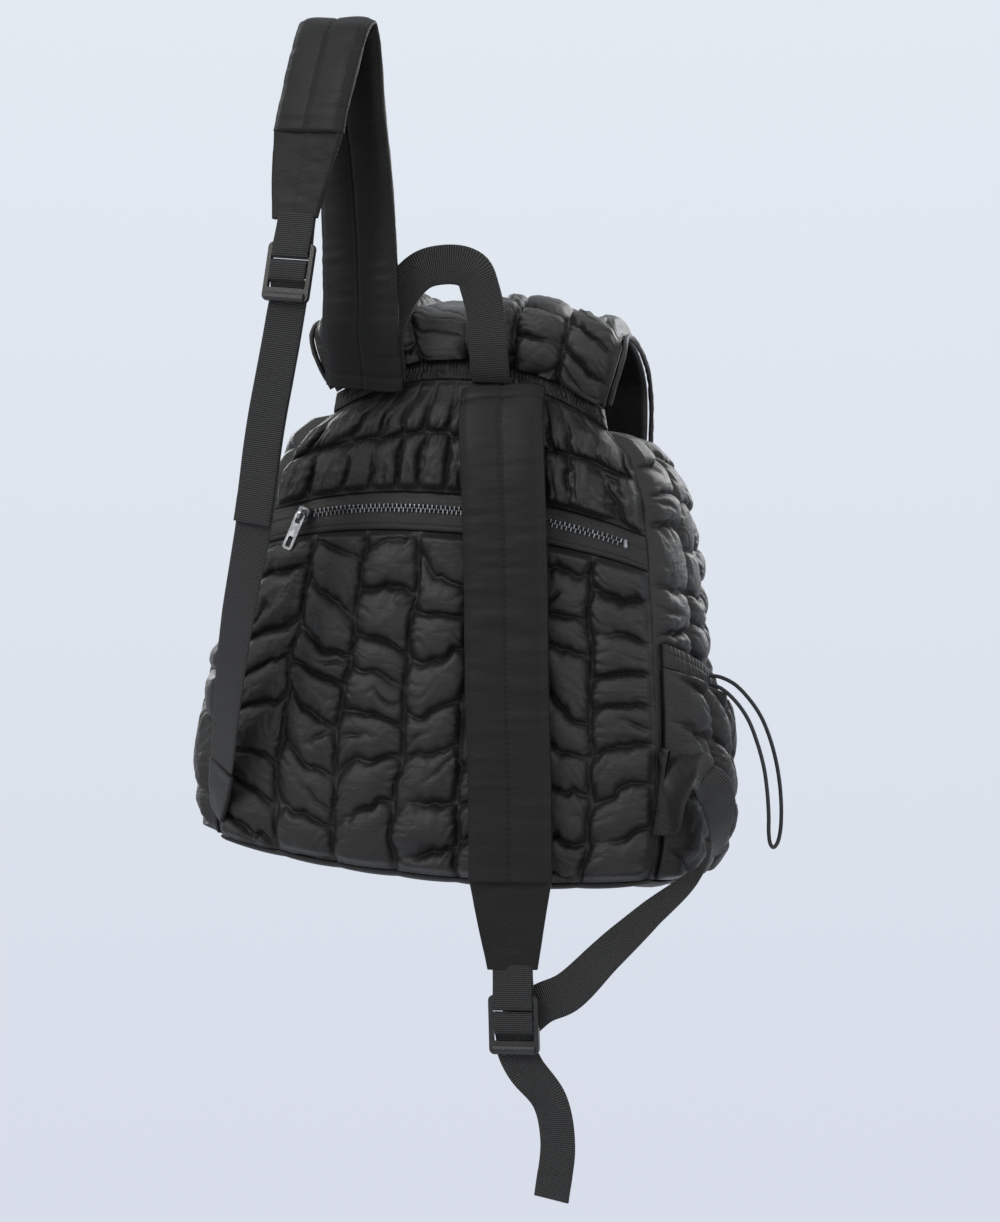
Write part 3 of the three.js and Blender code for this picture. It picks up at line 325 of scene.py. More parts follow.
def rod_object(name, line, radius, sides, ridge=None):
    """A round rod along a line. Its rings don't twist, because each takes its way from the last."""
    steps = int(line.length / RING_STEP)
    distance = np.linspace(0, line.length, steps + 1)
    along = between(distance, line.distances, line.tangents)
    along = along / np.linalg.norm(along, axis=1)[:, None]
    side_way = np.empty_like(along)
    way = np.array([0.1, 1.0, 0.2])
    for k in range(steps + 1):
        way = way - along[k] * (way @ along[k])
        way = way / np.linalg.norm(way)
        side_way[k] = way
    other_way = np.cross(along, side_way)
    angle = np.linspace(0, 2 * np.pi, sides, endpoint=False)
    r = radius * np.ones((steps + 1, sides))
    if ridge is not None:
        r = r + ridge(distance[:, None], angle[None, :])
    points = (line.at(distance)[:, None] + side_way[:, None] * (np.cos(angle)[None, :] * r)[..., None]
              + other_way[:, None] * (np.sin(angle)[None, :] * r)[..., None])
    uv = np.stack(np.broadcast_arrays(distance[:, None] / 1000, angle[None, :] * radius / 1000), -1)
    return as_object(name, points.reshape(-1, 3), rod_faces(steps + 1, sides), uv.reshape(-1, 2))


# %% [markdown]
# ## The drawcord
#
# A soft 3 mm cord leaves the right pocket's hem, hangs in one narrow loop and goes back into the hem.
# A simulated rope would hang as well, but would end somewhere else on each change, so its loop is
# drawn through points instead. Its length is measured on the same points.

# %% The drawcord
CORD_DIAMETER = 3
CORD_POINTS = [
    [192.7, 62, 165], [200, 63.6, 164.5], [211, 66.5, 160], [222, 68.5, 150.5], [232.5, 69.5, 137.5],
    [240.5, 70, 122], [247, 70, 104], [251.5, 70, 85], [254, 70, 66], [254.5, 69, 52],
    [253.5, 66, 43], [251.5, 62, 39.5], [249.5, 58, 42], [248, 55.5, 50], [247, 54.5, 64],
    [244.5, 54, 82], [240.5, 54, 100], [234, 54, 118], [225.5, 54.5, 135], [215, 55, 147.5],
    [203, 55.6, 156.3], [192.6, 56, 159],
]
cord_line = Line(CORD_POINTS)
cord = rod_object("drawcord", cord_line, CORD_DIAMETER / 2, 14)
settle(cord, "drawcord", "pocket_cord")

# %% [markdown]
# ## Surfaces of the bag
#
# Each side of the real bag is a sewn panel that swells out between straight seams. So each side here is
# one surface: its corners follow a table of widths and depths up the bag, it swells between them, and
# its seams arch. Everything that is sewn to a side asks this surface for its place.

# %% Surfaces of the bag
BACK_SWELL, SIDE_SWELL, FRONT_SWELL = 18, 14, 30
BASE_CORNER, BASE_SAG = 12, 12
MOUTH_CORNER, MOUTH_ARCH, FRONT_DIP = 344, 31, 8
ZIP_CENTRE, ZIP_ARCH = 275, 20
ZIP_CORNER = ZIP_CENTRE - ZIP_ARCH
ARCH_POWER = 2.4
WIDTH, DEPTH, BACK, SWELL = 1, 2, 3, 4
SECTIONS = np.array([
    # height, width, depth, back, swell
    [0.0, 0.955, 0.93, 0.03, 0.35],
    [0.05, 0.99, 0.98, 0.005, 0.65],
    [0.1, 1.0, 1.0, 0.0, 0.85],
    [0.35, 0.96, 1.0, 0.0, 1.0],
    [0.51, 0.915, 0.96, 0.01, 1.0],
    [0.67, 0.865, 0.9, 0.02, 1.0],
    [0.79, 0.815, 0.82, 0.04, 0.9],
    [0.87, 0.735, 0.7, 0.08, 0.75],
    [0.92, 0.62, 0.6, 0.11, 0.55],
])
SIDES = {
    # first corner, way out, swell, and how far the foot, zip and mouth seams arch
    "back": (0, (0, -1), BACK_SWELL, (-BASE_SAG, ZIP_ARCH, MOUTH_ARCH)),
    "right": (1, (1, 0), SIDE_SWELL, (-BASE_SAG / 3, 0, 0)),
    "front": (2, (0, 1), FRONT_SWELL, (-BASE_SAG, 0, -FRONT_DIP)),
    "left": (3, (-1, 0), SIDE_SWELL, (-BASE_SAG / 3, 0, 0)),
}

print("rows in the table of sections:", len(SECTIONS))

# %% [markdown]
# ## Points of a side
#
# A point of a side is asked for by its share from corner to corner and its height at the corners. The
# answer can stand in from the cloth's line, for the inner face of a wall, or out from it, for a puff.
# The padded back is also asked the other way round, by the place that a strap lies at.


# %% Points of a side
def section(column, height):
    return np.interp(np.asarray(height) / BAG_HEIGHT, SECTIONS[:, 0], SECTIONS[:, column])


def wall_point(side, s, height, inset=0.0, out=0.0):
    """A point of a side: s from corner to corner, height at its corners, out off the cloth's line."""
    first, outward, swell, (foot, zip_seam, mouth) = SIDES[side]
    s, height = np.broadcast_arrays(np.asarray(s, float), np.asarray(height, float))
    half = BAG_WIDTH * section(WIDTH, height) / 2 - inset
    back = BAG_DEPTH * section(BACK, height)
    depth = BAG_DEPTH * section(DEPTH, height)
    corners = [(-half, back + inset), (half, back + inset),
               (half, back + depth - inset), (-half, back + depth - inset)]
    (x0, y0), (x1, y1) = corners[first], corners[(first + 1) % 4]
    length = np.hypot(x1 - x0, y1 - y0)
    place = mix(GAP, length - GAP, s) / length
    arch = 1 - np.abs(2 * s - 1) ** ARCH_POWER
    push = swell * section(SWELL, height) * (1 - (2 * s - 1) ** 2) + out
    rise = np.where(height < ZIP_CORNER,
                    mix(foot, zip_seam, (height - BASE_CORNER) / (ZIP_CORNER - BASE_CORNER)),
                    mix(zip_seam, mouth, (height - ZIP_CORNER) / (MOUTH_CORNER - ZIP_CORNER)))
    return np.stack([mix(x0, x1, place) + outward[0] * push,
                     mix(y0, y1, place) + outward[1] * push,
                     height + rise * arch], axis=-1)


def back_point(x, height, out=0.0):
    """A point of the back by its distance across and its height at the corners."""
    half = BAG_WIDTH * section(WIDTH, height) / 2
    return wall_point("back", 0.5 + x / (2 * half), height, 0, out)


def back_face(x, z):
    """Where the padded back lies, without its puffs, and its corner height there."""
    height = z
    for _ in range(4):
        height = float(np.clip(height + z - back_point(x, height)[2], BASE_CORNER, MOUTH_CORNER))
    return float(back_point(x, height)[1]), height


print("the back's middle stands out by mm:", round(-float(wall_point("back", 0.5, BAG_HEIGHT / 3)[1]), 1))

# %% [markdown]
# ## Noise
#
# No two puffs, folds or gathers of sewn cloth are alike. All of that unevenness comes from one small
# table of random numbers with a fixed seed, read smoothly between its places, so the bag is uneven
# but comes out the same each time.

# %% Noise
NOISE = np.random.RandomState(11).uniform(-1, 1, (64, 64))


def noise(x, y, seed=0):
    """Smooth noise from -1 to 1 over a plane."""
    x = np.asarray(x, float) + 17.3 * seed
    y = np.asarray(y, float) + 9.1 * seed
    i, j = np.floor(x).astype(int), np.floor(y).astype(int)
    u, v = x - i, y - j
    u, v = u * u * (3 - 2 * u), v * v * (3 - 2 * v)
    t = NOISE
    low = mix(t[i % 64, j % 64], t[(i + 1) % 64, j % 64], u)
    high = mix(t[i % 64, (j + 1) % 64], t[(i + 1) % 64, (j + 1) % 64], u)
    return mix(low, high, v)


print("noise at two near places:", round(float(noise(1.2, 3.4)), 3), round(float(noise(1.3, 3.4)), 3))

# %% [markdown]
# ## Puffs
#
# The quilting pulls the cloth in along its stitch lines. Between them it is gathered, so that it
# stands in full rolls that wander, split and lean, with sharp creases where they meet. A cloth
# simulation of some two hundred puffs would take hours, and a bump in the material would leave the
# outline straight. So the rolls are worked out as heights and move the grid's own points.


# %% Puffs
def puffs(a, b, seed, wide=48, tall=27, slant=0.5):
    """How far gathered cloth stands out, 0 to about 1. a counts stitched columns and b rows of puffs.

    A column's puffs differ in height and lean, their creases waver, and some fade out half way. Where
    a crease meets the stitches the cloth dips in a pit, and short folds run out from the stitches.
    wide and tall are a puff's size in mm.
    """
    a = a + 0.055 * noise(b * 1.15, a * 0.9, seed + 20) + 0.03 * noise(b * 2.6, a * 1.3, seed + 21)
    column = np.floor(a)
    f = a - column
    lean = slant * (f - 0.5) * 2 * noise(column * 1.9 + 0.5, b * 0.35, seed + 2)
    waver = 0.1 * noise(a * 4, b * 1.5, seed + 3) + 0.05 * noise(a * 9, b * 3, seed + 4)
    uneven = 0.9 * noise(column * 1.7, 0.3, seed) + 0.42 * noise(b * 0.75, column * 3.1, seed + 1)
    b = b + uneven + lean + waver
    row, nearest = np.floor(b), np.round(b)
    g = b - row
    sine_f, sine_g = np.sin(np.pi * f), np.sin(np.pi * g)
    to_stitch = np.minimum(f, 1 - f) * wide
    to_row = np.minimum(g, 1 - g) * tall
    strength = 0.84 + 0.3 * noise(column * 1.3 + 5, nearest * 2.1, seed + 5)
    from_side = np.where(noise(column * 2.9, nearest * 1.7, seed + 6) > 0, f, 1 - f)
    fades = smooth(noise(column * 0.7 + 9, nearest * 1.1, seed + 7), 0.05, 0.4)
    strength = np.clip(strength * (1 - fades * smooth(from_side, 0.3, 0.8)), 0, 1)
    pit = 1.3 + 5.0 * (1 - sine_g ** 0.5)
    across = 1 - np.exp(-(to_stitch / pit) ** 1.15)
    crease = 1 - strength * np.exp(-(to_row / (2.0 + 0.8 * noise(a * 3, b * 2, seed + 8))) ** 1.1)
    dome = 0.6 + 0.4 * (sine_f * sine_g) ** 0.65
    full = 0.9 + 0.16 * noise(column * 2.3 + 0.5, row * 1.9 + 0.5, seed + 9)
    height = across * crease * dome * full
    fold = np.abs(np.sin(np.pi * (b * 2.6 + 1.4 * noise(a * 2.5, b * 1.8, seed + 10))))
    height *= 1 - 0.42 * np.exp(-to_stitch / 6.5) * (1 - fold) ** 1.6
    steep = 1.1 * noise(column * 5.1, row * 2.7, seed + 11)
    to_second = np.abs(g - 0.5 - steep * (f - 0.5)) * tall
    has_second = smooth(noise(column * 3.3, row * 2.3, seed + 12), 0.1, 0.45)
    from_side = np.where(noise(column * 1.1, row * 1.3, seed + 13) > 0, f, 1 - f)
    part_way = 1 - smooth(from_side, 0.25, 0.65)
    return height * (1 - 0.5 * has_second * part_way * np.exp(-(to_second / 2.1) ** 1.15))


def wrinkles(x, y, seed):
    """Small folds, sharp on one side, from -1 to 1. x and y are in mm."""
    wave = noise(x / 16 + noise(x / 30, y / 21, seed) * 1.2, y / 7, seed + 1)
    fine = noise(x / 7, y / 4 + noise(x / 12, y / 12, seed + 2), seed + 3)
    return 0.65 * (1 - 2 * np.abs(wave)) + 0.35 * (1 - 2 * np.abs(fine))


sample = puffs(*shares(200, 200), 3)
print("a puff's height, mean and highest:", round(float(sample.mean()), 2), round(float(sample.max()), 2))

# %% [markdown]
# ## The quilted panels
#
# The back is one panel under the zip and one over it. Over the zip the puffs run upwards instead of
# across, because the cloth is gathered into the seam above, and under the straps they are sewn flat.
# The sides are flat behind their pockets. One function makes all five panels from their rows and
# columns, so they share their seams. Noise of another seed wrinkles each of them.

# %% The quilted panels
PUFF_CROWN = 12
COLUMNS, SIDE_COLUMNS, COLUMN_PITCH = 7, 3, 48
LOWER_ROWS, ZIP_ROWS, UPPER_ROWS = 9, 1, 3
SIDE_ROWS = LOWER_ROWS + ZIP_ROWS + UPPER_ROWS
PUFFS_PER_ROW = 0.82
TAPE_BELOW, TAPE_ABOVE = 15, 11
TAPE_FOOT = ZIP_CORNER - TAPE_BELOW
TAPE_TOP = ZIP_CORNER + TAPE_ABOVE
POCKET_HEIGHT, POCKET_SLANT, HEM_HEIGHT = 140, 0.25, 15


def panel(name, node, side, low, high, columns, rows, cells, seed, puff_at=None, quilt=None):
    """A quilted side of the bag as a closed pad. cells counts grid steps per column and per row."""
    s, t = shares(columns * cells[0], rows * cells[1])
    height = mix(low + GAP, high - GAP, t)
    row_height = (high - low) / rows
    if quilt is None:
        stagger = 0.12 * np.sin(np.pi * t) * np.sin(np.pi * s * columns)
        wide = BAG_WIDTH / columns if side in ("back", "front") else 50
        b = (t * rows - stagger) * PUFFS_PER_ROW
        relief = puffs(s * columns, b, seed, wide, row_height / PUFFS_PER_ROW)
    else:
        relief = quilt(s, t)
    foot = 0.55 if low == BASE_CORNER else 0
    rim = mix(foot, 1, smooth(t * rows * row_height, 0, 6)) * smooth((1 - t) * rows * row_height, 0, 5)
    rim = rim * smooth(np.minimum(s, 1 - s) * columns * COLUMN_PITCH, 0, 5)
    crown = PUFF_CROWN * (1 if puff_at is None else puff_at(s, height))
    out = crown * rim * (1.12 * relief + 0.03 * wrinkles(s * columns * COLUMN_PITCH, height, seed))
    uv = np.stack([s * BAG_WIDTH / 1000, height / 1000], -1)
    piece = pad_object(name, wall_point(side, s, height, 0, out), wall_point(side, s, height, WALL), 6, uv)
    settle(piece, "puffer_nylon", node)


def seam_flattening(height):
    """Under the strap seam the puffs are sewn flat."""
    return 1 - 0.8 * smooth(height, MOUTH_CORNER - 34, MOUTH_CORNER - 6)


def upright_puffs(s, t):
    """Two rows of tall puffs side by side, with folds that run up them."""
    return puffs(t * 2, s * 12.5, 9, wide=44, tall=27, slant=0.1) * (1 + 0.2 * wrinkles(t * 50, s * 330, 10))


def above_pocket(side):
    """The side is flat behind its pocket and puffed above the pocket's slanting hem."""
    def puff_at(s, height):
        from_back = s if side == "right" else 1 - s
        top = BASE_CORNER + (POCKET_HEIGHT + HEM_HEIGHT) * (1 + POCKET_SLANT * (0.5 - from_back))
        return smooth(height, top - 2, top + 14)
    return puff_at


print("a panel's puffs stand out by mm:", PUFF_CROWN)

# %% [markdown]
# ## Five panels
#
# Each panel stands for its own CAD node and is told how many columns and rows it has. The front gets a
# coarser grid than the back, because it faces away from the picture. The seeds make them differ.

# %% Five panels
panel("back_lower", "back_panel_lower", "back", BASE_CORNER, TAPE_FOOT, COLUMNS, LOWER_ROWS, (36, 24), 3)
panel("back_upper", "back_panel_upper", "back", TAPE_TOP, MOUTH_CORNER, COLUMNS, UPPER_ROWS, (36, 24), 8,
      lambda s, height: seam_flattening(height), upright_puffs)
for side, seed in (("right", 21), ("left", 31)):
    panel("side_" + side, "side_panel_" + side, side, BASE_CORNER, MOUTH_CORNER, SIDE_COLUMNS, SIDE_ROWS,
          (36, 18), seed, above_pocket(side))
panel("front", "front_panel", "front", BASE_CORNER, MOUTH_CORNER, COLUMNS, SIDE_ROWS, (24, 18), 41)
print("quilted panels made, rows on the sides:", SIDE_ROWS)

# %% [markdown]
# ## The flap
#
# The flap is a quilted sheet folded over the mouth, from its seam at the back to its end at the front.
# Bending a flat sheet with a modifier would stretch it at the folds. Here its middle follows one line
# and the drop of its edges another, so the fold's shape can be set row by row. Inside the handle's
# loop the puffs are pressed down.

# %% The flap
FLAP_COLUMNS, FLAP_ROWS, FLAP_CROWN = 6, 8, 10
FLAP_LENGTH, FLAP_HALF, FLAP_PITCH = 400, 115, 40
LOOP_DENT = 5
FLAP_FOLDS = np.array([
    # out, up, width, shift, drop out, drop down
    [0.07, 1.043, 0.61, -0.006, 0.055, 0.083],
    [0.02, 1.085, 0.665, -0.014, 0.05, 0.065],
    [0.05, 1.13, 0.7, -0.02, 0.04, 0.05],
    [0.2, 1.16, 0.68, -0.02, 0.0, 0.05],
    [0.47, 1.168, 0.655, -0.018, 0.0, 0.05],
    [0.75, 1.145, 0.655, -0.018, 0.0, 0.055],
    [0.98, 1.085, 0.66, -0.018, -0.04, 0.05],
    [1.07, 0.985, 0.67, -0.018, -0.09, 0.03],
    [1.12, 0.9, 0.67, -0.018, -0.12, 0.01],
])
middle_rows = [[w * BAG_WIDTH / 2, o * BAG_DEPTH, up * BAG_HEIGHT] for o, up, w, *_ in FLAP_FOLDS]
drop_rows = [[shift * BAG_WIDTH, out * BAG_DEPTH, -down * BAG_HEIGHT] for *_, shift, out, down in FLAP_FOLDS]
half_end = FLAP_FOLDS[-1, 2] * BAG_WIDTH / 2
for share, keep in ((0.8, 1), (0.7, 1), (0.62, 0.94)):
    face = wall_point("front", 0.5, share * BAG_HEIGHT)
    panel_half = BAG_WIDTH * section(WIDTH, share * BAG_HEIGHT) / 2
    fall = FRONT_SWELL * section(SWELL, share * BAG_HEIGHT) * (half_end / panel_half) ** 2
    middle_rows.append([half_end * keep, face[1] + PUFF_CROWN + WALL + 2, share * BAG_HEIGHT])
    drop_rows.append([FLAP_FOLDS[-1, 3] * BAG_WIDTH, -fall, 0])
flap_middle, flap_drop = Line(middle_rows), Line(drop_rows)


def flap_point(u, v, out=0.0):
    """u runs from the flap's left edge to its right one, v from its seam to its end."""
    u, v, out = np.broadcast_arrays(np.asarray(u, float), np.asarray(v, float), np.asarray(out, float))
    middle = between(v, flap_middle.places, flap_middle.points)
    drop = between(v, flap_drop.places, flap_drop.points)
    along = between(v, flap_middle.places, flap_middle.tangents)
    flat = np.hypot(along[..., 1], along[..., 2])
    return np.stack([u * middle[..., 0] + drop[..., 0],
                     middle[..., 1] + drop[..., 1] * u * u - along[..., 2] / flat * out,
                     middle[..., 2] + drop[..., 2] * u * u + along[..., 1] / flat * out], axis=-1)


u, t = np.broadcast_arrays(np.linspace(-1, 1, FLAP_COLUMNS * 36 + 1)[None, :],
                           np.linspace(0, 1, FLAP_ROWS * 45 + 1)[:, None])
a, down = (u + 1) / 2 * FLAP_COLUMNS, t * FLAP_LENGTH
rim = smooth(down, 0, 6) * smooth((1 - t) * FLAP_LENGTH, 0, 6) * smooth((1 - np.abs(u)) * FLAP_HALF, 0, 7)
in_loop = np.exp(-((u + 0.1) / 0.24) ** 4) * (1 - smooth(down, 120, 170)) * smooth(down, 0, 50)
rim = rim * (1 - 0.8 * in_loop)
quilt = 1.25 * puffs(a, t * FLAP_ROWS, 51, 39, FLAP_LENGTH / FLAP_ROWS)
out = FLAP_CROWN * rim * (quilt + 0.03 * wrinkles(a * FLAP_PITCH, down, 52)) - LOOP_DENT * in_loop
under = -WALL + 0.8 * wrinkles(a * FLAP_PITCH, down, 57) * rim - LOOP_DENT * in_loop
v = mix(0.002, 1, t)
flap = pad_object("flap_quilt", flap_point(u, v, out), flap_point(u, v, under), 6,
                  np.stack([u * FLAP_HALF / 1000, t * FLAP_LENGTH / 1000], -1))
settle(flap, "puffer_nylon", "flap")
print("flap made, mm over the mouth:", round(float(flap_middle.points[:, 2].max()) - MOUTH_CORNER))

# %% [markdown]
# ## The seam band
#
# A narrow band of plain cloth joins the flap to the back. It is shirred: cloth of more than its length
# is drawn up in small gathers, with one line of stitches along its middle. Each gather is a fold of the
# grid, and noise keeps them from being a regular comb.

# %% The seam band
GATHERS = 70
s, t = shares(GATHERS * 7, 24)
foot = wall_point("back", s[0], MOUTH_CORNER)
head = flap_point(2 * s[0] - 1, 0)
line = foot[None] + (head - foot)[None] * t[..., None]
line[..., 2] += GAP * (1 - 2 * t)
g = s * GATHERS + 0.9 * noise(s * 31, t * 1.5, 61)
height = np.abs(np.sin(np.pi * g)) ** 0.7 * (0.7 + 0.4 * noise(s * 43, t * 3, 62))
height = height * (1 - 0.55 * np.exp(-((t - 0.5) / 0.11) ** 2))
stand = 0.7 + np.sin(np.pi * t) ** 0.6 * (0.4 + (2.2 + 2.0 * s) * height)
towards_front = np.array([0, 1, 0])
band = pad_object("seam_band", line - towards_front * stand[..., None], line + towards_front * WALL, 2,
                  np.stack([s * 0.25, t * 0.02], -1))
settle(band, "plain_nylon", "flap_seam_band")
print("seam band made, gathers:", GATHERS)

# %% [markdown]
# ## The base
#
# The base is a smooth floor of cloth that bulges a little round its rim, and a little more under each
# puff. Its rim follows the foot of every side, so it is made of rings: each ring is the rim drawn in
# towards the middle and dropped.

# %% The base
rim_shares = np.linspace(0, 1, 121)[:-1]
rim_points = np.vstack([wall_point(side, rim_shares, BASE_CORNER) for side in SIDES])
puffed = np.concatenate([np.abs(np.sin(np.pi * rim_shares * count)) ** 0.55
                         for count in (COLUMNS, SIDE_COLUMNS, COLUMNS, SIDE_COLUMNS)])
centre = rim_points.mean(axis=0)
outward = (rim_points - centre) * [1, 1, 0]
outward /= np.linalg.norm(outward, axis=1)[:, None]
OUTER_RINGS = [
    # share of the rim, drop, bulge
    (1.0, 0.2, 0), (1.0, 0.4, 1.2), (1.0, 1.6, 1.8), (0.994, 3.2, 1.4), (0.98, 4.8, 0.6),
    (0.955, 6, 0), (0.92, 6.6, 0), (0.8, 7.2, 0), (0.5, 8, 0), (0.2, 8.4, 0),
]
INNER_RINGS = (0.2, 0.6, 0.96, 1.0)


def base_ring(share, drop, bulge=0.0):
    ring = centre + (rim_points - centre) * share + outward * bulge
    ring[:, 2] = rim_points[:, 2] * share + centre[2] * (1 - share) - drop
    return ring


rings = [base_ring(share, drop * (0.8 + 0.2 * puffed), (bulge * (0.35 + 0.65 * puffed))[:, None])
         for share, drop, bulge in OUTER_RINGS]
rings += [base_ring(share, 0.2) for share in INNER_RINGS]
count, outer_rings = len(rim_points), len(OUTER_RINGS)
points = np.vstack(rings)
inner_first = outer_rings * count
inner_last = inner_first + (len(INNER_RINGS) - 1) * count
faces = quads(outer_rings, count, wrap=True) + quads(len(INNER_RINGS), count, inner_first, wrap=True)
faces += [[k, (k + 1) % count, inner_last + (k + 1) % count, inner_last + k] for k in range(count)]
faces.append([(outer_rings - 1) * count + k for k in range(count)])
faces.append([inner_first + k for k in range(count)][::-1])
base = as_object("base", points, faces, points[:, :2] / 1000)
settle(base, "plain_nylon", "base_panel")
print("base made, rings:", len(rings))

# %% [markdown]
# ## The flap's binding
#
# A strip of plain cloth is rolled over the flap's raw edge, from its right root round the end to its
# left root. It is a rod with a soft, uneven ridge, carried on points that stand just off the flap.

# %% The flap's binding
BINDING_RADIUS, ROLL_RADIUS = 2.4, 2.1
stand = BINDING_RADIUS + GAP * 3
edge_points = [flap_point(1, v, -WALL / 2) + [stand, 0, 0] for v in np.linspace(0.01, 0.97, 14)]
edge_points.append(flap_point(1.03, 1, -WALL / 2) + [1.03 * stand, 0, -stand * 1.4])
edge_points += [flap_point(u_place, 1, -WALL / 2) - [0, 0, stand] for u_place in (0.8, 0.4, 0, -0.4, -0.8)]
edge_points.append(flap_point(-1.03, 1, -WALL / 2) + [-1.03 * stand, 0, -stand * 1.4])
edge_points += [flap_point(-1, v, -WALL / 2) - [stand - 0.4, 0, 0] for v in np.linspace(0.97, 0.01, 14)]
binding = rod_object("flap_edge", Line(edge_points), ROLL_RADIUS, 12,
                     lambda d, angle: 0.35 * noise(d / 5, angle * 1.2, 71) + 0.2 * np.cos(2 * angle))
settle(binding, "plain_nylon", "flap_binding")
print("binding made, points along it:", len(edge_points))

# %% [markdown]
# ## The zip's tape
#
# The tape is woven cloth in two halves that meet under the teeth, with a seam near each edge. It lies
# on the back's surface between the two panels, so it takes their arch without being bent.

# %% The zip's tape
TAPE_WIDTH = TAPE_BELOW + TAPE_ABOVE
s, t = shares(210, 28)
height = mix(TAPE_FOOT + GAP, TAPE_TOP - GAP, t)
from_chain = height - ZIP_CORNER
edge = np.minimum(t, 1 - t) * TAPE_WIDTH
lift = 0.9 * smooth(edge, 0, 3) - 0.7 * np.exp(-((edge - 3.4) / 0.7) ** 2)
lift += 0.35 * smooth(np.abs(from_chain), 2, 4) * noise(s * 26, t * 3, 81)
lift -= 0.8 * np.exp(-(from_chain / 0.8) ** 2)
tape = pad_object("zip_cloth", wall_point("back", s, height, 0, lift), wall_point("back", s, height, 2), 2,
                  np.stack([s * 0.32, height / 1000], -1))
settle(tape, "plain_nylon", "zip_tape")
print("tape made, mm wide:", TAPE_WIDTH)

# %% [markdown]
# ## The zip's teeth
#
# The chain is two rows of teeth that mesh, each tooth waisted and a little domed. An array modifier
# could repeat one tooth, but the chain follows the swell of the back, so each tooth is set on the
# surface with its own ways along, out and up. A small block stops the chain at its right end.

# %% The zip's teeth
CHAIN_LEFT, CHAIN_RIGHT, CHAIN_WIDTH = -111, 132, 6
TOOTH_PITCH, TOOTH_HEIGHT, TIP_PAST = 1.75, 2.3, 0.7
TOOTH_PROFILE = [(-0.62, 0), (0.62, 0), (0.62, 1.5),
                 (0.36, TOOTH_HEIGHT), (-0.36, TOOTH_HEIGHT), (-0.62, 1.5)]
teeth = int((CHAIN_RIGHT - CHAIN_LEFT) / TOOTH_PITCH)
points, faces = [], []
for k in range(teeth):
    x = CHAIN_LEFT + (k + 0.5) * TOOTH_PITCH
    centre = back_point(x, ZIP_CORNER, 0.5)
    ahead = back_point(x + 1, ZIP_CORNER, 0.5) - centre
    ahead /= np.linalg.norm(ahead)
    outward = np.array([0, -1, 0]) + ahead * ahead[1]
    upward = np.cross(outward, ahead)
    upward *= np.sign(upward[2])
    way = 1 if k % 2 else -1
    root, tip = way * CHAIN_WIDTH / 2, -way * TIP_PAST
    faces += rod_faces(4, len(TOOTH_PROFILE), len(points))
    for up, scale in ((root, 1.0), (mix(root, tip, 0.12), 1.18), (mix(root, tip, 0.88), 1.18), (tip, 0.8)):
        for across_tooth, out_tooth in TOOTH_PROFILE:
            grown = TOOTH_HEIGHT / 2 + (out_tooth - TOOTH_HEIGHT / 2) * scale
            points.append(centre + ahead * across_tooth * scale + outward * grown + upward * up)
chain = as_object("zip_teeth", np.array(points), faces, shade=False)
settle(chain, "zip_metal", "zip_chain")

work = bmesh.new()
bmesh.ops.create_cube(work, size=1)
bmesh.ops.scale(work, vec=(0.0026, 0.0028, 0.0068), verts=work.verts)
bmesh.ops.bevel(work, geom=work.edges, offset=0.0007, segments=3, affect="EDGES")
bmesh.ops.translate(work, vec=Vector(world(back_point(CHAIN_RIGHT + 1.6, ZIP_CORNER, 1.5))), verts=work.verts)
stop_mesh = bpy.data.meshes.new("zip_stop")
work.to_mesh(stop_mesh)
work.free()
settle(new_object("zip_stop", stop_mesh), "zip_metal")
print("teeth made:", teeth)

# %% [markdown]
# ## Slider and puller
#
# These are hard parts with exact shapes, and the part's own solids already have them. So each is a copy
# of its solid with the sharp edges bevelled, which is what catches the light on cast metal. The puller
# swings, so it rides on a body of its own. The strap buckles are made the same way further on.


# %% Slider and puller
def softened(name, node, width, slot, body="bag"):
    """A hard part's own solid with its edges rounded. width is in mm."""
    mesh = nodes[node].data.copy()
    piece = new_object(name, mesh)
    work = bmesh.new()
    work.from_mesh(mesh)
    bmesh.ops.remove_doubles(work, verts=work.verts, dist=1e-6)
    bmesh.ops.dissolve_limit(work, angle_limit=math.radians(2), verts=work.verts, edges=work.edges)
    sharp = [e for e in work.edges if len(e.link_faces) == 2 and e.calc_face_angle(0) > math.radians(32)]
    bmesh.ops.bevel(work, geom=sharp, offset=width / 1000, segments=3, profile=0.5,
                    affect="EDGES", clamp_overlap=True)
    work.to_mesh(mesh)
    work.free()
    mesh.polygons.foreach_set("use_smooth", np.ones(len(mesh.polygons), bool))
    modifier = piece.modifiers.new("weighted", "WEIGHTED_NORMAL")
    modifier.keep_sharp = False
    mesh.materials.clear()
    return settle(piece, slot, node, body=body)


slider = softened("zip_slider_body", "zip_slider", 0.35, "zip_metal")
puller = softened("zip_puller_tab", "zip_puller", 0.3, "zip_metal", body="puller")
print("slider and puller made, faces:", len(slider.data.polygons), len(puller.data.polygons))

# %% [markdown]
# ## Side pockets
#
# Each pocket is a full pouch in wide columns, closed by a gathered hem with a channel for the cord. It
# sits on the side's surface and swells most at its middle. The hem is a strip of its own, because its
# small upright pleats are much finer than the pocket's puffs.

# %% Side pockets
POCKET_MARGIN, POCKET_SEAT, POCKET_SWELL, POCKET_CROWN = 0.04, 1.3, 16, 9
POCKET_ACROSS, HEM_PLEATS = 150, 26
POCKET_FILL = np.array([[0.0, 0.0], [0.15, 0.6], [0.45, 1.0], [0.75, 0.95], [1.0, 0.7]])


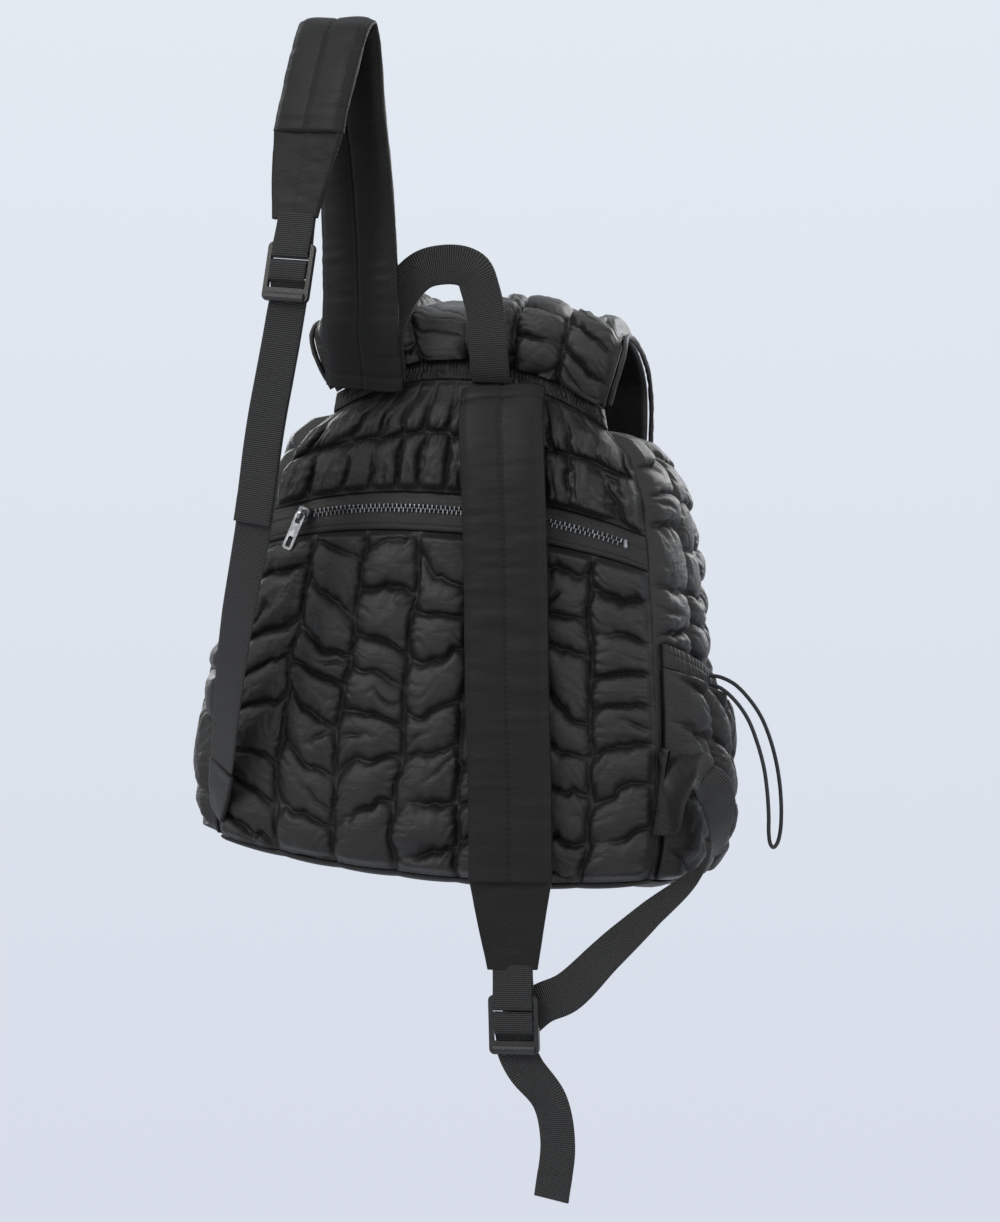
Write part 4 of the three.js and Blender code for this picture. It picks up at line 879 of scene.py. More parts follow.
def pocket_point(side, s, share, out=0.0):
    """s goes from corner to corner and share from the pocket's foot to its hem."""
    across = mix(POCKET_MARGIN, 1 - POCKET_MARGIN, s)
    from_back = s if side == "right" else 1 - s
    height = BASE_CORNER + 1 + share * POCKET_HEIGHT * (1 + POCKET_SLANT * (0.5 - from_back))
    fill = np.interp(np.minimum(share, 1), POCKET_FILL[:, 0], POCKET_FILL[:, 1]) * np.sin(np.pi * s) ** 0.6
    return wall_point(side, across, height, 0, POCKET_SEAT + POCKET_SWELL * fill + out)


def pocket_pouch(side, seed):
    s, t = shares(108, 126)
    up, across = t * POCKET_HEIGHT, s * POCKET_ACROSS
    rim = smooth(up, 0, 5) * smooth((1 - t) * POCKET_HEIGHT, 0, 3)
    rim = rim * smooth(np.minimum(s, 1 - s) * POCKET_ACROSS, 0, 6)
    a = s * 4 + 0.35 * (t - 0.5) * np.sin(np.pi * s)
    quilt = 1.75 * puffs(a, t * 3.8 + 0.35 * a, seed, 40, 38)
    out = POCKET_CROWN * rim * (quilt + 0.05 * wrinkles(up, across, seed + 1))
    pocket = pad_object("pocket_" + side, pocket_point(side, s, t, WALL + out),
                        pocket_point(side, s, t, 0.3), 3, np.stack([s * 0.15, t * 0.14], -1))
    settle(pocket, "puffer_nylon", "side_pocket_" + side)


def pocket_hem(side, seed):
    s, t = shares(288, 24)
    g = s * HEM_PLEATS + 0.8 * noise(s * 11, t * 1.2, seed + 2)
    pleat = np.abs(np.sin(np.pi * g)) ** 0.75 * (0.75 + 0.4 * noise(s * 17, t * 2, seed + 3))
    channel = 0.55 * (1 - np.exp(-((t - 0.62) / 0.05) ** 2)) + 0.45
    out = 1.9 + 2.7 * pleat * channel * np.sin(np.pi * np.clip(t, 0.04, 0.96)) ** 0.45
    share = 1 + (GAP + t * HEM_HEIGHT) / POCKET_HEIGHT
    hem = pad_object("hem_" + side, pocket_point(side, s, share, out + 1.2),
                     pocket_point(side, s, share, 0.2), 2, np.stack([s * 0.16, t * 0.015], -1))
    settle(hem, "plain_nylon", "pocket_hem_" + side)


for side, seed in (("right", 91), ("left", 96)):
    pocket_pouch(side, seed)
    pocket_hem(side, seed)
print("pockets made, pleats in each hem:", HEM_PLEATS)

# %% [markdown]
# ## Routes of the straps
#
# A hanging strap takes a shape of its own, and the photograph shows it. So each strap follows rows of
# places read off that shape, given as shares of the bag's width, depth and height, with the turn of
# its face in degrees. When the bag's size changes, the straps go with it.

# %% Routes of the straps
LEFT_ROUTE = [
    # across, out, up, turn
    (-0.23, 0.006, 0.971, -6), (-0.23, -0.055, 1.024, -6), (-0.232, -0.12, 1.077, -7),
    (-0.235, -0.132, 1.147, -10), (-0.26, -0.134, 1.347, -14), (-0.295, -0.137, 1.525, -13),
    (-0.3055, -0.165, 1.627, -14), (-0.3095, -0.205, 1.668, -14), (-0.3124, -0.258, 1.6837, -15),
    (-0.3153, -0.312, 1.668, -15), (-0.3185, -0.355, 1.627, -16), (-0.323, -0.4, 1.565, -17),
    (-0.3305, -0.439, 1.483, -18), (-0.343, -0.471, 1.317, -12), (-0.342, -0.503, 1.203, -8),
    (-0.353, -0.529, 1.04, -5), (-0.372, -0.542, 0.861, -5), (-0.386, -0.529, 0.683, -8),
    (-0.423, -0.452, 0.483, -18), (-0.461, -0.303, 0.296, -30), (-0.484, -0.185, 0.176, -38),
]
RIGHT_ROUTE = [
    # across, up
    (0.0885, 0.984), (0.1, 0.92), (0.12, 0.82), (0.144, 0.643), (0.173, 0.367),
    (0.195, 0.17), (0.212, -0.016), (0.231, -0.184), (0.244, -0.301), (0.254, -0.4),
]


def yawed(turn):
    return [math.cos(math.radians(turn)), math.sin(math.radians(turn)), 0]


def place(across, out, up):
    return np.array([across * BAG_WIDTH, out * BAG_DEPTH, up * BAG_HEIGHT])


left_line = Line([place(a, o, up) for a, o, up, _ in LEFT_ROUTE], [yawed(turn) for *_, turn in LEFT_ROUTE])
print("the left strap's route in mm:", round(float(left_line.length)))

# %% [markdown]
# ## Measures of a strap
#
# Both straps are made alike: a pad, a tapered cloth end, a stub of webbing and a ladder lock, one after
# the other along the route. These are their sizes in mm and where each of them starts.

# %% Measures of a strap
PAD_LENGTH, PAD_WIDTH, PAD_THICKNESS = 374, 64, 12
END_LENGTH, END_WIDTH, END_THICKNESS, END_OVERLAP = 63, 38, 4, 1.5
STUB_LENGTH = 20
WEBBING_WIDTH, WEBBING_THICKNESS = 30, 1.5
BUCKLE_WIDTH, BUCKLE_HEIGHT, BUCKLE_THICKNESS = 38, 44, 4
BAR_HEIGHT, MIDDLE_BAR, UPPER_WINDOW, LIP_HEIGHT = 6, 8, 12, 10
END_START = PAD_LENGTH + GAP
STUB_START = END_START + END_LENGTH + GAP
BUCKLE_CENTRE = STUB_START + STUB_LENGTH + BUCKLE_HEIGHT / 2
TOP_BAR = BUCKLE_HEIGHT / 2 - BAR_HEIGHT / 2
UPPER_TOP = BUCKLE_HEIGHT / 2 - BAR_HEIGHT
LOWER_TOP = UPPER_TOP - UPPER_WINDOW - MIDDLE_BAR
AROUND = BUCKLE_THICKNESS / 2 + WEBBING_THICKNESS / 2 + 0.4
SLACK = WEBBING_THICKNESS / 2 + 0.45
print("from a strap's top to its buckle's middle in mm:", BUCKLE_CENTRE)

# %% [markdown]
# ## Through the buckle
#
# A ladder lock holds webbing by friction: it goes over one bar and back under the next. Its way is a
# short list of places, out of the buckle's face and up its height, so it lies right whichever way the
# buckle is turned.


# %% Through the buckle
def loop_over(edge):
    return [(-AROUND, edge - 2), (-AROUND * 0.92, edge + 0.9), (-AROUND * 0.5, edge + 2.1), (0, edge + 2.4),
            (AROUND * 0.5, edge + 2.1), (AROUND * 0.92, edge + 0.9), (AROUND, edge - 2)]


def loop_under(edge):
    return [(-out, -up) for out, up in loop_over(-edge)]


def threaded(at, along, across, out, rows, more=(), more_faces=()):
    """A band threaded through a buckle, from places out of its front and up its height."""
    places = [at + out * o - along * up for o, up in rows]
    return Line([*places, *more], [across] * len(rows) + list(more_faces))


print("places of a loop over a bar:", len(loop_over(0)))

# %% [markdown]
# ## One strap
#
# The pad is foam in a nylon sleeve. Its shape across is two low domes that meet at the sewn line down
# the middle, and creases run across it where it bends. The cloth end is flat and tapers to the webbing.

# %% One strap
PAD_PROFILE = []
for a in np.linspace(-1, 1, 41):
    bulge = (1 - abs(a) ** 5) ** 0.5
    halves = 0.88 + 0.12 * abs(math.sin(math.pi * a)) ** 0.7
    PAD_PROFILE.append([a * 0.985, max(bulge * halves, 0.34)])
PAD_PROFILE = np.array(PAD_PROFILE + [[1.0, 0.2], [1.0, -0.2]]
                       + [[a, -b] for a, b in PAD_PROFILE[::-1]] + [[-1.0, -0.2], [-1.0, 0.2]])


def pad_relief(seed):
    """The middle seam, the edge seams, a fold near the top and creases of a padded strap."""
    def relief(distance, across, face):
        seam = 1.5 * np.exp(-(across / 1.1) ** 2) + 0.3 * np.exp(-((np.abs(across) - 28.5) / 0.9) ** 2)
        crease = 0.55 * noise(distance / 13, across / 30 + 3, seed)
        crease = crease + 0.4 * noise(distance / 5, across / 26, seed + 1)
        pull = 0.25 * np.sin(distance * 2 * np.pi / 4.2) * np.exp(-(across / 4) ** 2)
        fold = 1.1 * np.exp(-((distance - 11) / 1.9) ** 2)
        return face * (crease - seam + pull - fold)
    return relief


def soft_creases(distance, across, face):
    return face * (0.35 * noise(distance / 11, across / 15, 7) + 0.2 * noise(distance / 5, across / 9, 5))


def strap(side, line, seed):
    """Pad, cloth end, stub and buckle of one strap. It returns the buckle's frame."""
    pad = band_object(side + "_pad", line, 0, PAD_LENGTH, (PAD_WIDTH, PAD_WIDTH), PAD_THICKNESS, 240,
                      PAD_PROFILE, relief=pad_relief(seed))
    settle(pad, "strap_nylon", side + "_strap_pad")
    end = band_object(side + "_end", line, END_START - END_OVERLAP, END_START + END_LENGTH + END_OVERLAP,
                      (PAD_WIDTH - 1, END_WIDTH), END_THICKNESS, 60, flat_profile(25, 0.6),
                      relief=soft_creases)
    settle(end, "strap_nylon", side + "_strap_end")
    buckle_frame = line.frame_at(BUCKLE_CENTRE)
    top = BUCKLE_HEIGHT / 2 + STUB_LENGTH + 2
    middle = top - STUB_LENGTH * 0.5
    rows = [(SLACK, top), (SLACK + 0.4, middle), (AROUND, TOP_BAR + 1), *loop_under(UPPER_TOP - 2.6),
            (-AROUND, TOP_BAR + 1), (-SLACK - 0.4, middle), (-SLACK, top)]
    stub_line = threaded(*buckle_frame, rows)
    stub = band_object(side + "_stub", stub_line, 0, stub_line.length, (WEBBING_WIDTH, WEBBING_WIDTH),
                       WEBBING_THICKNESS, 90, flat_profile())
    settle(stub, "webbing", side + "_strap_stub")
    softened(side + "_ladder_lock", side + "_buckle", 0.75, "buckle_plastic")
    return buckle_frame


print("points across a pad:", len(PAD_PROFILE))

# %% [markdown]
# ## Webbing
#
# Webbing is a thin flat band with soft edges. Its ribs are too fine for the mesh and are left to the
# material, but its slight waviness is in the mesh, because it shows on the outline. Each tail ends in a
# hem, folded back on itself and thicker.

# %% Webbing
TAIL_HEM = 20
WEBBING_STEP = 2.2
TAIL_ROWS = [(-AROUND, LOWER_TOP + 1), *loop_over(UPPER_TOP - UPPER_WINDOW + 2.6), *loop_under(LOWER_TOP)[:4],
             (-AROUND * 0.6, LOWER_TOP - 4.4), (-AROUND - 0.3, LOWER_TOP - 8.5),
             (-AROUND - 1, LOWER_TOP - LIP_HEIGHT - 4.6)]


def webbing_band(name, line, node, seed, start=0, lift=0.0, thickness=WEBBING_THICKNESS, hem=0.0):
    """Webbing from a place on a line to its end. hem is how much of it is folded back on itself."""
    end = line.length

    def relief(distance, across, face):
        near_end = smooth(distance, end - hem, end - hem + 1.5) if hem else 0
        return 0.15 * noise(distance / 16, across / 20, seed) + near_end * 0.35 * face
    steps = max(24, int((end - start) / WEBBING_STEP))
    piece = band_object(name, line, start, end, (WEBBING_WIDTH, WEBBING_WIDTH), thickness, steps,
                        flat_profile(11), lift=lift, relief=relief)
    settle(piece, "webbing", node)


print("places of a tail through its buckle:", len(TAIL_ROWS))

# %% [markdown]
# ## Left strap
#
# The left strap goes over the arch, from which the bag hangs, and down in front of the back. Its tail
# lies on its own webbing, which ends in a cloth tab at the bag's corner. The tail's places are read off
# the webbing's line, so the two stay together.

# %% Left strap
LEFT_TAIL = 188
at, along, across, out = strap("left", left_line, 101)
tail_start = BUCKLE_CENTRE + BUCKLE_HEIGHT / 2 + 6
more, more_faces = [], []
for step in range(7):
    p, _, face_way, off = left_line.frame_at(mix(tail_start, BUCKLE_CENTRE + LEFT_TAIL, step / 6))
    more.append(p + off * (-AROUND - 1 + step * 0.2))
    more_faces.append(face_way)
tail_line = threaded(at, along, across, out, TAIL_ROWS, more, more_faces)
webbing_band("left_tail_band", tail_line, "left_tail", 111, hem=TAIL_HEM)
behind = AROUND + WEBBING_THICKNESS + 1.8
webbing_band("left_lower_band", left_line, "left_webbing", 113, start=BUCKLE_CENTRE + MIDDLE_BAR / 2,
             lift=-behind)
foot, foot_along, foot_across, foot_out = left_line.frame_at(left_line.length)
tab_top = foot - foot_out * behind + foot_along * 5 * GAP
corner = wall_point("left", 1.0, BASE_CORNER + 16) - [0, WALL + GAP, 0]
tab_line = Line([tab_top, (tab_top + corner) / 2, corner], [foot_across, foot_across, yawed(-50)])
tab = band_object("left_corner_tab", tab_line, 0, tab_line.length, (WEBBING_WIDTH + 2, WEBBING_WIDTH - 8),
                  WALL, 30, flat_profile(15, 0.6), relief=soft_creases)
settle(tab, "plain_nylon", "left_tab")
print("left strap made, its tab's length in mm:", round(float(tab_line.length)))

# %% [markdown]
# ## Right strap
#
# The right strap lies on the puffs of the back and hangs below them. Where it lies on the bag, its
# depth is asked from the back's surface and the puffs' crown. Its tail hangs free.

# %% Right strap
RIGHT_TAIL, REST_HEIGHT = 104, 0.35
RIGHT_TAIL_ROWS = [
    # across, out, down, turn
    (0.1, 0.0, 0.1, -4), (0.29, 0.0, 0.3, -12), (0.37, 0.02, 0.6, -18), (0.36, 0.0, 1.0, -20),
]
right_places = []
for across_share, up in RIGHT_ROUTE:
    y, height = back_face(across_share * BAG_WIDTH, max(up, REST_HEIGHT) * BAG_HEIGHT)
    y -= PUFF_CROWN * float(seam_flattening(height)) + GAP + PAD_THICKNESS / 2
    right_places.append([across_share * BAG_WIDTH, y, up * BAG_HEIGHT])
right_line = Line(right_places, [yawed(0)] * len(right_places))
at, along, across, out = strap("right", right_line, 121)
foot = at - out * (AROUND + 1) - [0, 0, BUCKLE_HEIGHT / 2]
more = [foot + np.array([side * RIGHT_TAIL, back * RIGHT_TAIL, -down * RIGHT_TAIL])
        for side, back, down, _ in RIGHT_TAIL_ROWS]
turns = [yawed(turn) for *_, turn in RIGHT_TAIL_ROWS]
tail_line = threaded(at, along, across, out, TAIL_ROWS, more, turns)
webbing_band("right_tail_band", tail_line, "right_tail", 131, hem=TAIL_HEM)
print("right strap made, its route in mm:", round(float(right_line.length)))

# %% [markdown]
# ## Right webbing and tab
#
# The webbing leaves the buckle from behind and goes round to the bag's other corner with a half twist.
# There a wide tab of cloth is sewn into the side seam. The tab's folds run from the webbing's end
# towards the seam, as cloth does that is pulled from one point.

# %% Right webbing and tab
TAB_WIDTH, TAB_MIDDLE = 66, 78
RIGHT_WEBBING = [
    # across, out, up, face
    (0.6, -0.1, 0.247, (-0.35, 0.1, 1)), (0.622, -0.06, 0.222, (0.5, 0.35, 0.8)),
    (0.633, 0.0, 0.18, (0.6, 0.85, 0.2)), (0.628, 0.03, 0.115, (0.2, 1, 0)),
    (0.583, -0.03, 0.045, (-0.25, 0.9, 0.3)), (0.507, -0.12, -0.03, (-0.42, 0.75, 0.5)),
    (0.431, -0.2, -0.11, (-0.55, 0.5, 0.65)), (0.35, -0.19, -0.195, (-0.68, 0.15, 0.72)),
]
AT_BUCKLE = [-0.68, 0, 0.73]


def unit(way):
    return np.array(way) / np.linalg.norm(way)


back = at - out * (AROUND + WEBBING_THICKNESS + 1.6)
near = back + [BUCKLE_WIDTH * 0.45, 0, BUCKLE_HEIGHT * 0.36]
under = back + [-BUCKLE_WIDTH * 0.05, 0, -BUCKLE_HEIGHT * 0.1]
rows = [place(a, o, up) for a, o, up, _ in RIGHT_WEBBING]
webbing_line = Line([*rows, near, under], [*[unit(way) for *_, way in RIGHT_WEBBING], AT_BUCKLE, AT_BUCKLE])
webbing_band("right_lower_band", webbing_line, "right_webbing", 133)
tip, tip_along, tip_across, _ = webbing_line.frame_at(0.0)
seam = wall_point("back", 1.0, BASE_CORNER + TAB_WIDTH / 2)
seam = np.array([seam[0] + 2 * GAP, seam[1] - WALL / 2 - GAP, TAB_MIDDLE])
level = seam + [2 * WALL, -WALL, 0]
tab_end = tip - tip_along * 2 * GAP
before = tab_end - tip_along * 2 * WALL
upright = [0, 0, 1]


def tab_folds(distance, across, face):
    """Folds that run from the webbing's end towards the seam, the same on both faces."""
    fold = np.sin(across / 5.2 + 1.6 * noise(distance / 24, across / 60, 17))
    return 1.1 * fold * smooth(distance, 6, 26) + 0.3 * noise(distance / 6, across / 9, 18)


tab_line = Line([seam, level, before, tab_end], [upright, upright, tip_across, tip_across])
tab = band_object("right_corner_tab", tab_line, 0, tab_line.length, (TAB_WIDTH, WEBBING_WIDTH + 3), WALL, 60,
                  flat_profile(49, 0.6), relief=tab_folds)
settle(tab, "plain_nylon", "right_tab")
print("right webbing in mm:", round(float(webbing_line.length)))

# %% [markdown]
# ## Grab handle
#
# The grab handle is one length of thicker webbing with both feet sewn to the seam band. Its faces turn
# through half a circle from one foot to the other, and each row of its route says how.

# %% Grab handle
HANDLE_THICKNESS = 2.2
HANDLE = [
    # across, out, up, face
    (0.0548, 0.03, 0.996, (1, 0, 0)), (0.0548, -0.03, 1.028, (1, 0, 0)), (0.053, -0.075, 1.072, (1, 0, 0.06)),
    (0.043, -0.075, 1.13, (0.95, 0, 0.3)), (0.026, -0.07, 1.178, (0.86, 0, 0.5)),
    (0.008, -0.07, 1.212, (0.5, 0, 0.87)), (-0.02, -0.07, 1.224, (-0.02, 0, 1)),
    (-0.065, -0.07, 1.224, (-0.04, 0, 1)), (-0.108, -0.067, 1.212, (-0.25, 0, 0.97)),
    (-0.146, -0.06, 1.178, (-0.82, 0, 0.57)), (-0.172, -0.055, 1.13, (-0.93, 0, 0.36)),
    (-0.184, -0.052, 1.07, (-1, 0, 0.05)), (-0.184, 0.01, 1.015, (-1, 0, 0)),
    (-0.184, 0.038, 0.988, (-1, 0, 0)),
]
handle_line = Line([place(a, o, up) for a, o, up, _ in HANDLE], [unit(way) for *_, way in HANDLE])
webbing_band("handle_band", handle_line, "grab_handle", 141, thickness=HANDLE_THICKNESS)
print("handle made, its length in mm:", round(float(handle_line.length)))

# %% [markdown]
# ## Shader values
#
# A finish is a network of nodes, and a network is hard to read as code. So a shader socket is wrapped
# in a small class with the signs of arithmetic, and a sum of values adds its Math nodes. Every other
# node comes from one method, which takes its type, its settings and what goes into its sockets.


# %% Shader values
class Value:
    """A shader socket that works in sums."""

    def __init__(self, nodes_of, socket):
        self.nodes_of, self.socket = nodes_of, socket

    def math(self, operation, *parts):
        return self.nodes_of.node("ShaderNodeMath", {"operation": operation}, dict(enumerate(parts)))

    def __add__(self, other):
        return self.math("ADD", self, other)

    def __sub__(self, other):
        return self.math("SUBTRACT", self, other)

    def __rsub__(self, other):
        return self.math("SUBTRACT", other, self)

    def __mul__(self, other):
        return self.math("MULTIPLY", self, other)

    __radd__, __rmul__ = __add__, __mul__

    def sin(self):
        return self.math("SINE", self)

    def abs(self):
        return self.math("ABSOLUTE", self)

    def ramp(self, low, high):
        """0 below low, 1 above high and smooth between them."""
        return self.nodes_of.node("ShaderNodeMapRange", {"interpolation_type": "SMOOTHSTEP"},
                                  {"Value": self, "From Min": low, "From Max": high}, "Result")


# %% [markdown]
# ## Node trees and finishes
#
# Materials and the world both hold a tree of nodes, so one class adds nodes to either. A finish is a
# material with its main shader at hand. What changes over the cloth is linked to colour, roughness or
# bump, which can be baked to pictures later. What stays the same is set as a plain number.


# %% Node trees and finishes
class Nodes:
    """A tree of shader nodes."""

    def __init__(self, tree):
        self.tree = tree

    def node(self, kind, settings, values, output=0):
        """A node of any type: its settings first, then the values or links of its sockets."""
        made = self.tree.nodes.new(kind)
        for key, value in settings.items():
            setattr(made, key, value)
        for key, value in values.items():
            if isinstance(value, Value):
                self.tree.links.new(value.socket, made.inputs[key])
            else:
                made.inputs[key].default_value = value
        if isinstance(output, tuple):
            return [Value(self, made.outputs[k]) for k in output]
        return Value(self, made.outputs[output])

    def coordinates(self, output):
        return self.node("ShaderNodeTexCoord", {}, {}, output)

    def axes(self, vector):
        return self.node("ShaderNodeSeparateXYZ", {}, {0: vector}, (0, 1, 2))

    def stretched(self, vector, scale):
        return self.node("ShaderNodeVectorMath", {"operation": "MULTIPLY"}, {0: vector, 1: scale})

    def noise(self, vector, scale, detail=3.0, rough=0.55):
        return self.node("ShaderNodeTexNoise", {},
                         {"Vector": vector, "Scale": scale, "Detail": detail, "Roughness": rough})

    def blend(self, share, dark, light):
        return self.node("ShaderNodeMix", {"data_type": "RGBA"},
                         {"Factor": share, 6: (*dark, 1), 7: (*light, 1)}, 2)


class Finish(Nodes):
    """One material and its nodes."""

    def __init__(self, name):
        self.material = bpy.data.materials.new(name)
        self.material.use_nodes = True
        super().__init__(self.material.node_tree)
        self.shader = self.tree.nodes["Principled BSDF"]

    def link(self, socket, value):
        self.tree.links.new(value.socket, self.shader.inputs[socket])

    def bump(self, height, distance):
        self.link("Normal", self.node("ShaderNodeBump", {}, {"Strength": 1.0, "Distance": distance,
                                                             "Height": height}, "Normal"))

    def steady(self, **values):
        """Sockets that don't change over the surface."""
        for key, value in values.items():
            self.shader.inputs[key.replace("_", " ")].default_value = value


# %% [markdown]
# ## Quilted and plain nylon
#
# The bag is black woven nylon: matt, with a slight sheen where it is pulled tight. The big folds are in
# the mesh, so the material adds only what is smaller, which is creases a few millimetres long and the
# weave. A warm tint on the shine keeps the pale blue room from turning black cloth blue. The plain
# cloth of bands and hems is a little rougher and less crumpled.

# %% Quilted and plain nylon
WARM_SHINE = (1, 0.965, 0.9, 1)
FINISHES = {}


def cloth_finish(name, dark, light, rough, crumple):
    """Woven nylon: a fine plain weave, creases a few millimetres long and a little sheen."""
    made = Finish(name)
    place_on = made.coordinates("Object")
    broad = made.noise(place_on, 14, 3)
    creases = made.noise(made.stretched(place_on, (1, 1, 2.2)), 85, 4, 0.6)
    ridges = 1 - (creases - 0.5).abs() * 4
    fine = made.noise(place_on, 420, 2)
    x, y, z = made.axes(place_on)
    threads = ((x + y) * 5200).sin() * (z * 5200).sin()
    made.link("Base Color", made.blend((broad * 0.6 + fine * 0.4).ramp(0.3, 0.7), dark, light))
    made.link("Roughness", broad * 0.16 + ridges * 0.04 + (rough - 0.1))
    made.steady(Sheen_Weight=0.02, Sheen_Roughness=0.35, Specular_IOR_Level=0.36, Specular_Tint=WARM_SHINE)
    made.bump(ridges * (0.75 * crumple) + fine * 0.12 + threads * 0.05, 0.0011)
    FINISHES[name] = made.material


cloth_finish("puffer_nylon", (0.0094, 0.009, 0.0084), (0.0142, 0.0136, 0.0128), 0.43, 0.38)
cloth_finish("plain_nylon", (0.0088, 0.0084, 0.0079), (0.0134, 0.0128, 0.012), 0.5, 0.3)
print("cloths made:", len(FINISHES))

# %% [markdown]
# ## Strap cloth
#
# The padded straps are nylon too, with a row of stitches down the middle and one near each edge. The
# stitches are dashes: a sine along the strap's UV, kept to a thin line across it.

# %% Strap cloth
TURN = 2 * math.pi
made = Finish("strap_nylon")
along, across = made.axes(made.coordinates("UV"))[:2]
place_on = made.coordinates("Object")
broad = made.noise(place_on, 18, 3)
fine = made.noise(place_on, 420, 2)
creases = made.noise(made.stretched(place_on, (1, 1, 3.0)), 70, 4, 0.6)
ridges = 1 - (creases - 0.5).abs() * 4
dash = (along * (TURN / 0.0042)).sin().ramp(-0.35, 0.2)
middle = 1 - across.abs().ramp(0.0004, 0.0009)
rim = 1 - (across.abs() - 0.0285).abs().ramp(0.0004, 0.0009)
thread = dash * (middle + rim * 0.4)
made.link("Base Color", made.blend(thread * 0.45 + fine * 0.25,
                                   (0.0064, 0.0062, 0.0059), (0.0205, 0.0201, 0.0194)))
made.link("Roughness", broad * 0.16 + 0.46)
made.steady(Sheen_Weight=0.01, Sheen_Roughness=0.35, Specular_IOR_Level=0.2, Specular_Tint=WARM_SHINE)
made.bump(ridges * 0.22 + fine * 0.1 + thread * 0.8, 0.0006)
FINISHES["strap_nylon"] = made.material
print("strap cloth made, nodes:", len(made.tree.nodes))

# %% [markdown]
# ## Webbing weave
#
# Webbing is ribbed across, a rib every 1.5 mm, with fine lines along it. Both are sines of the strip's
# UV, which is in metres, so the ribs keep their size on every band. A fuzz of fine noise breaks them.
# In the colour each rib's crest is a painted highlight and its hollow painted shade; the fuzz is random tone.

# %% Webbing weave
made = Finish("webbing")
along, across = made.axes(made.coordinates("UV"))[:2]
place_on = made.coordinates("Object")
ribs = (along * (TURN / 0.0015)).sin()
lines = (across * (TURN / 0.0011)).sin()
broad = made.noise(place_on, 22, 3)
fuzz = made.noise(place_on, 700, 2)
# Base colour: lighter rib crests are a painted highlight, darker rib hollows painted shade, the fuzz a random
# tone.
made.link("Base Color", made.blend((ribs * 0.42 + fuzz * 0.4 + 0.3).ramp(0.1, 0.95),
                                   (0.0048, 0.0046, 0.0044), (0.045, 0.0442, 0.0432)))
made.link("Roughness", broad * 0.2 + 0.5)
made.steady(Sheen_Weight=0.03, Sheen_Roughness=0.4, Specular_IOR_Level=0.3, Specular_Tint=WARM_SHINE)
made.bump(ribs * 0.6 + lines * 0.3 + fuzz * 0.2, 0.00045)
FINISHES["webbing"] = made.material
print("webbing made, ribs on 10 cm:", round(0.1 / 0.0015))

# %% [markdown]
# ## Cord braid
#
# The cord is braided from two sets of strands that slant opposite ways. The product of two slanting
# sines gives their diamonds, and it is fine enough to need no UV of its own.

# %% Cord braid
BRAID = 3800
made = Finish("drawcord")
place_on = made.coordinates("Object")
x, y, z = made.axes(place_on)
one_way = ((z + x * 0.8 + y) * BRAID).sin()
other_way = ((z - x * 0.8 - y) * BRAID).sin()
made.link("Base Color", made.blend((one_way * other_way * 0.5 + 0.5).ramp(0.1, 0.9),
                                   (0.008, 0.008, 0.01), (0.03, 0.03, 0.033)))
made.link("Roughness", made.noise(place_on, 300, 2) * 0.25 + 0.45)
made.steady(Sheen_Weight=0.03, Specular_IOR_Level=0.35)
made.bump(one_way * other_way * 0.5, 0.0003)
FINISHES["drawcord"] = made.material
print("cord braid made, a diamond in mm:", round(1000 * TURN / BRAID, 1))

# %% [markdown]
# ## Buckle plastic
#
# The ladder locks are moulded acetal: dark, with a soft shine, a fine grain and faint scuffs from
# handling. The scuffs change only the roughness, because a worn buckle turns patchy in its shine and
# keeps its colour.

# %% Buckle plastic
made = Finish("buckle_plastic")
place_on = made.coordinates("Object")
broad = made.noise(place_on, 60, 3)
grain = made.noise(place_on, 1500, 2)
scuffs = made.noise(made.stretched(place_on, (1, 1, 8)), 240, 3, 0.7).ramp(0.56, 0.7)
made.link("Base Color", made.blend(broad.ramp(0.3, 0.7), (0.009, 0.009, 0.0092), (0.015, 0.015, 0.0152)))
made.link("Roughness", broad * 0.14 + scuffs * 0.08 + 0.2)
made.steady(Specular_IOR_Level=0.5, Specular_Tint=WARM_SHINE)
made.bump(grain * 0.4 + broad * 0.6, 0.00012)
FINISHES["buckle_plastic"] = made.material
print("plastic made, nodes:", len(made.tree.nodes))

# %% [markdown]
# ## Zip metal
#
# Teeth, slider and puller are plated a dark silver grey, which wears a little lighter in patches. It is
# the one metal on the bag and its brightest spot, so it is fully metallic and fairly smooth.

# %% Zip metal
made = Finish("zip_metal")
place_on = made.coordinates("Object")
patches = made.noise(place_on, 160, 4).ramp(0.4, 0.75)
scratches = made.noise(made.stretched(place_on, (4, 4, 1)), 900, 2)
made.link("Base Color", made.blend(patches, (0.23, 0.23, 0.232), (0.46, 0.46, 0.465)))
made.link("Roughness", scratches * 0.2 + patches * 0.06 + 0.2)
made.steady(Metallic=1.0)
made.bump(scratches * 0.5, 0.00008)
FINISHES["zip_metal"] = made.material

for piece in bpy.data.objects:
    if "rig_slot" in piece and piece.type == "MESH":
        piece.data.materials.clear()
        piece.data.materials.append(FINISHES[piece["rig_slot"]])
print("finishes:", ", ".join(FINISHES))

# %% [markdown]
# ## Studio
#
# A pale floor far below the bag and pale air that darkens a little downwards. The floor shines in the
# air's own low colour instead of taking light, so that no line shows between the two from any side and
# no shadow falls on it, as in a picture cut out on a plain ground.

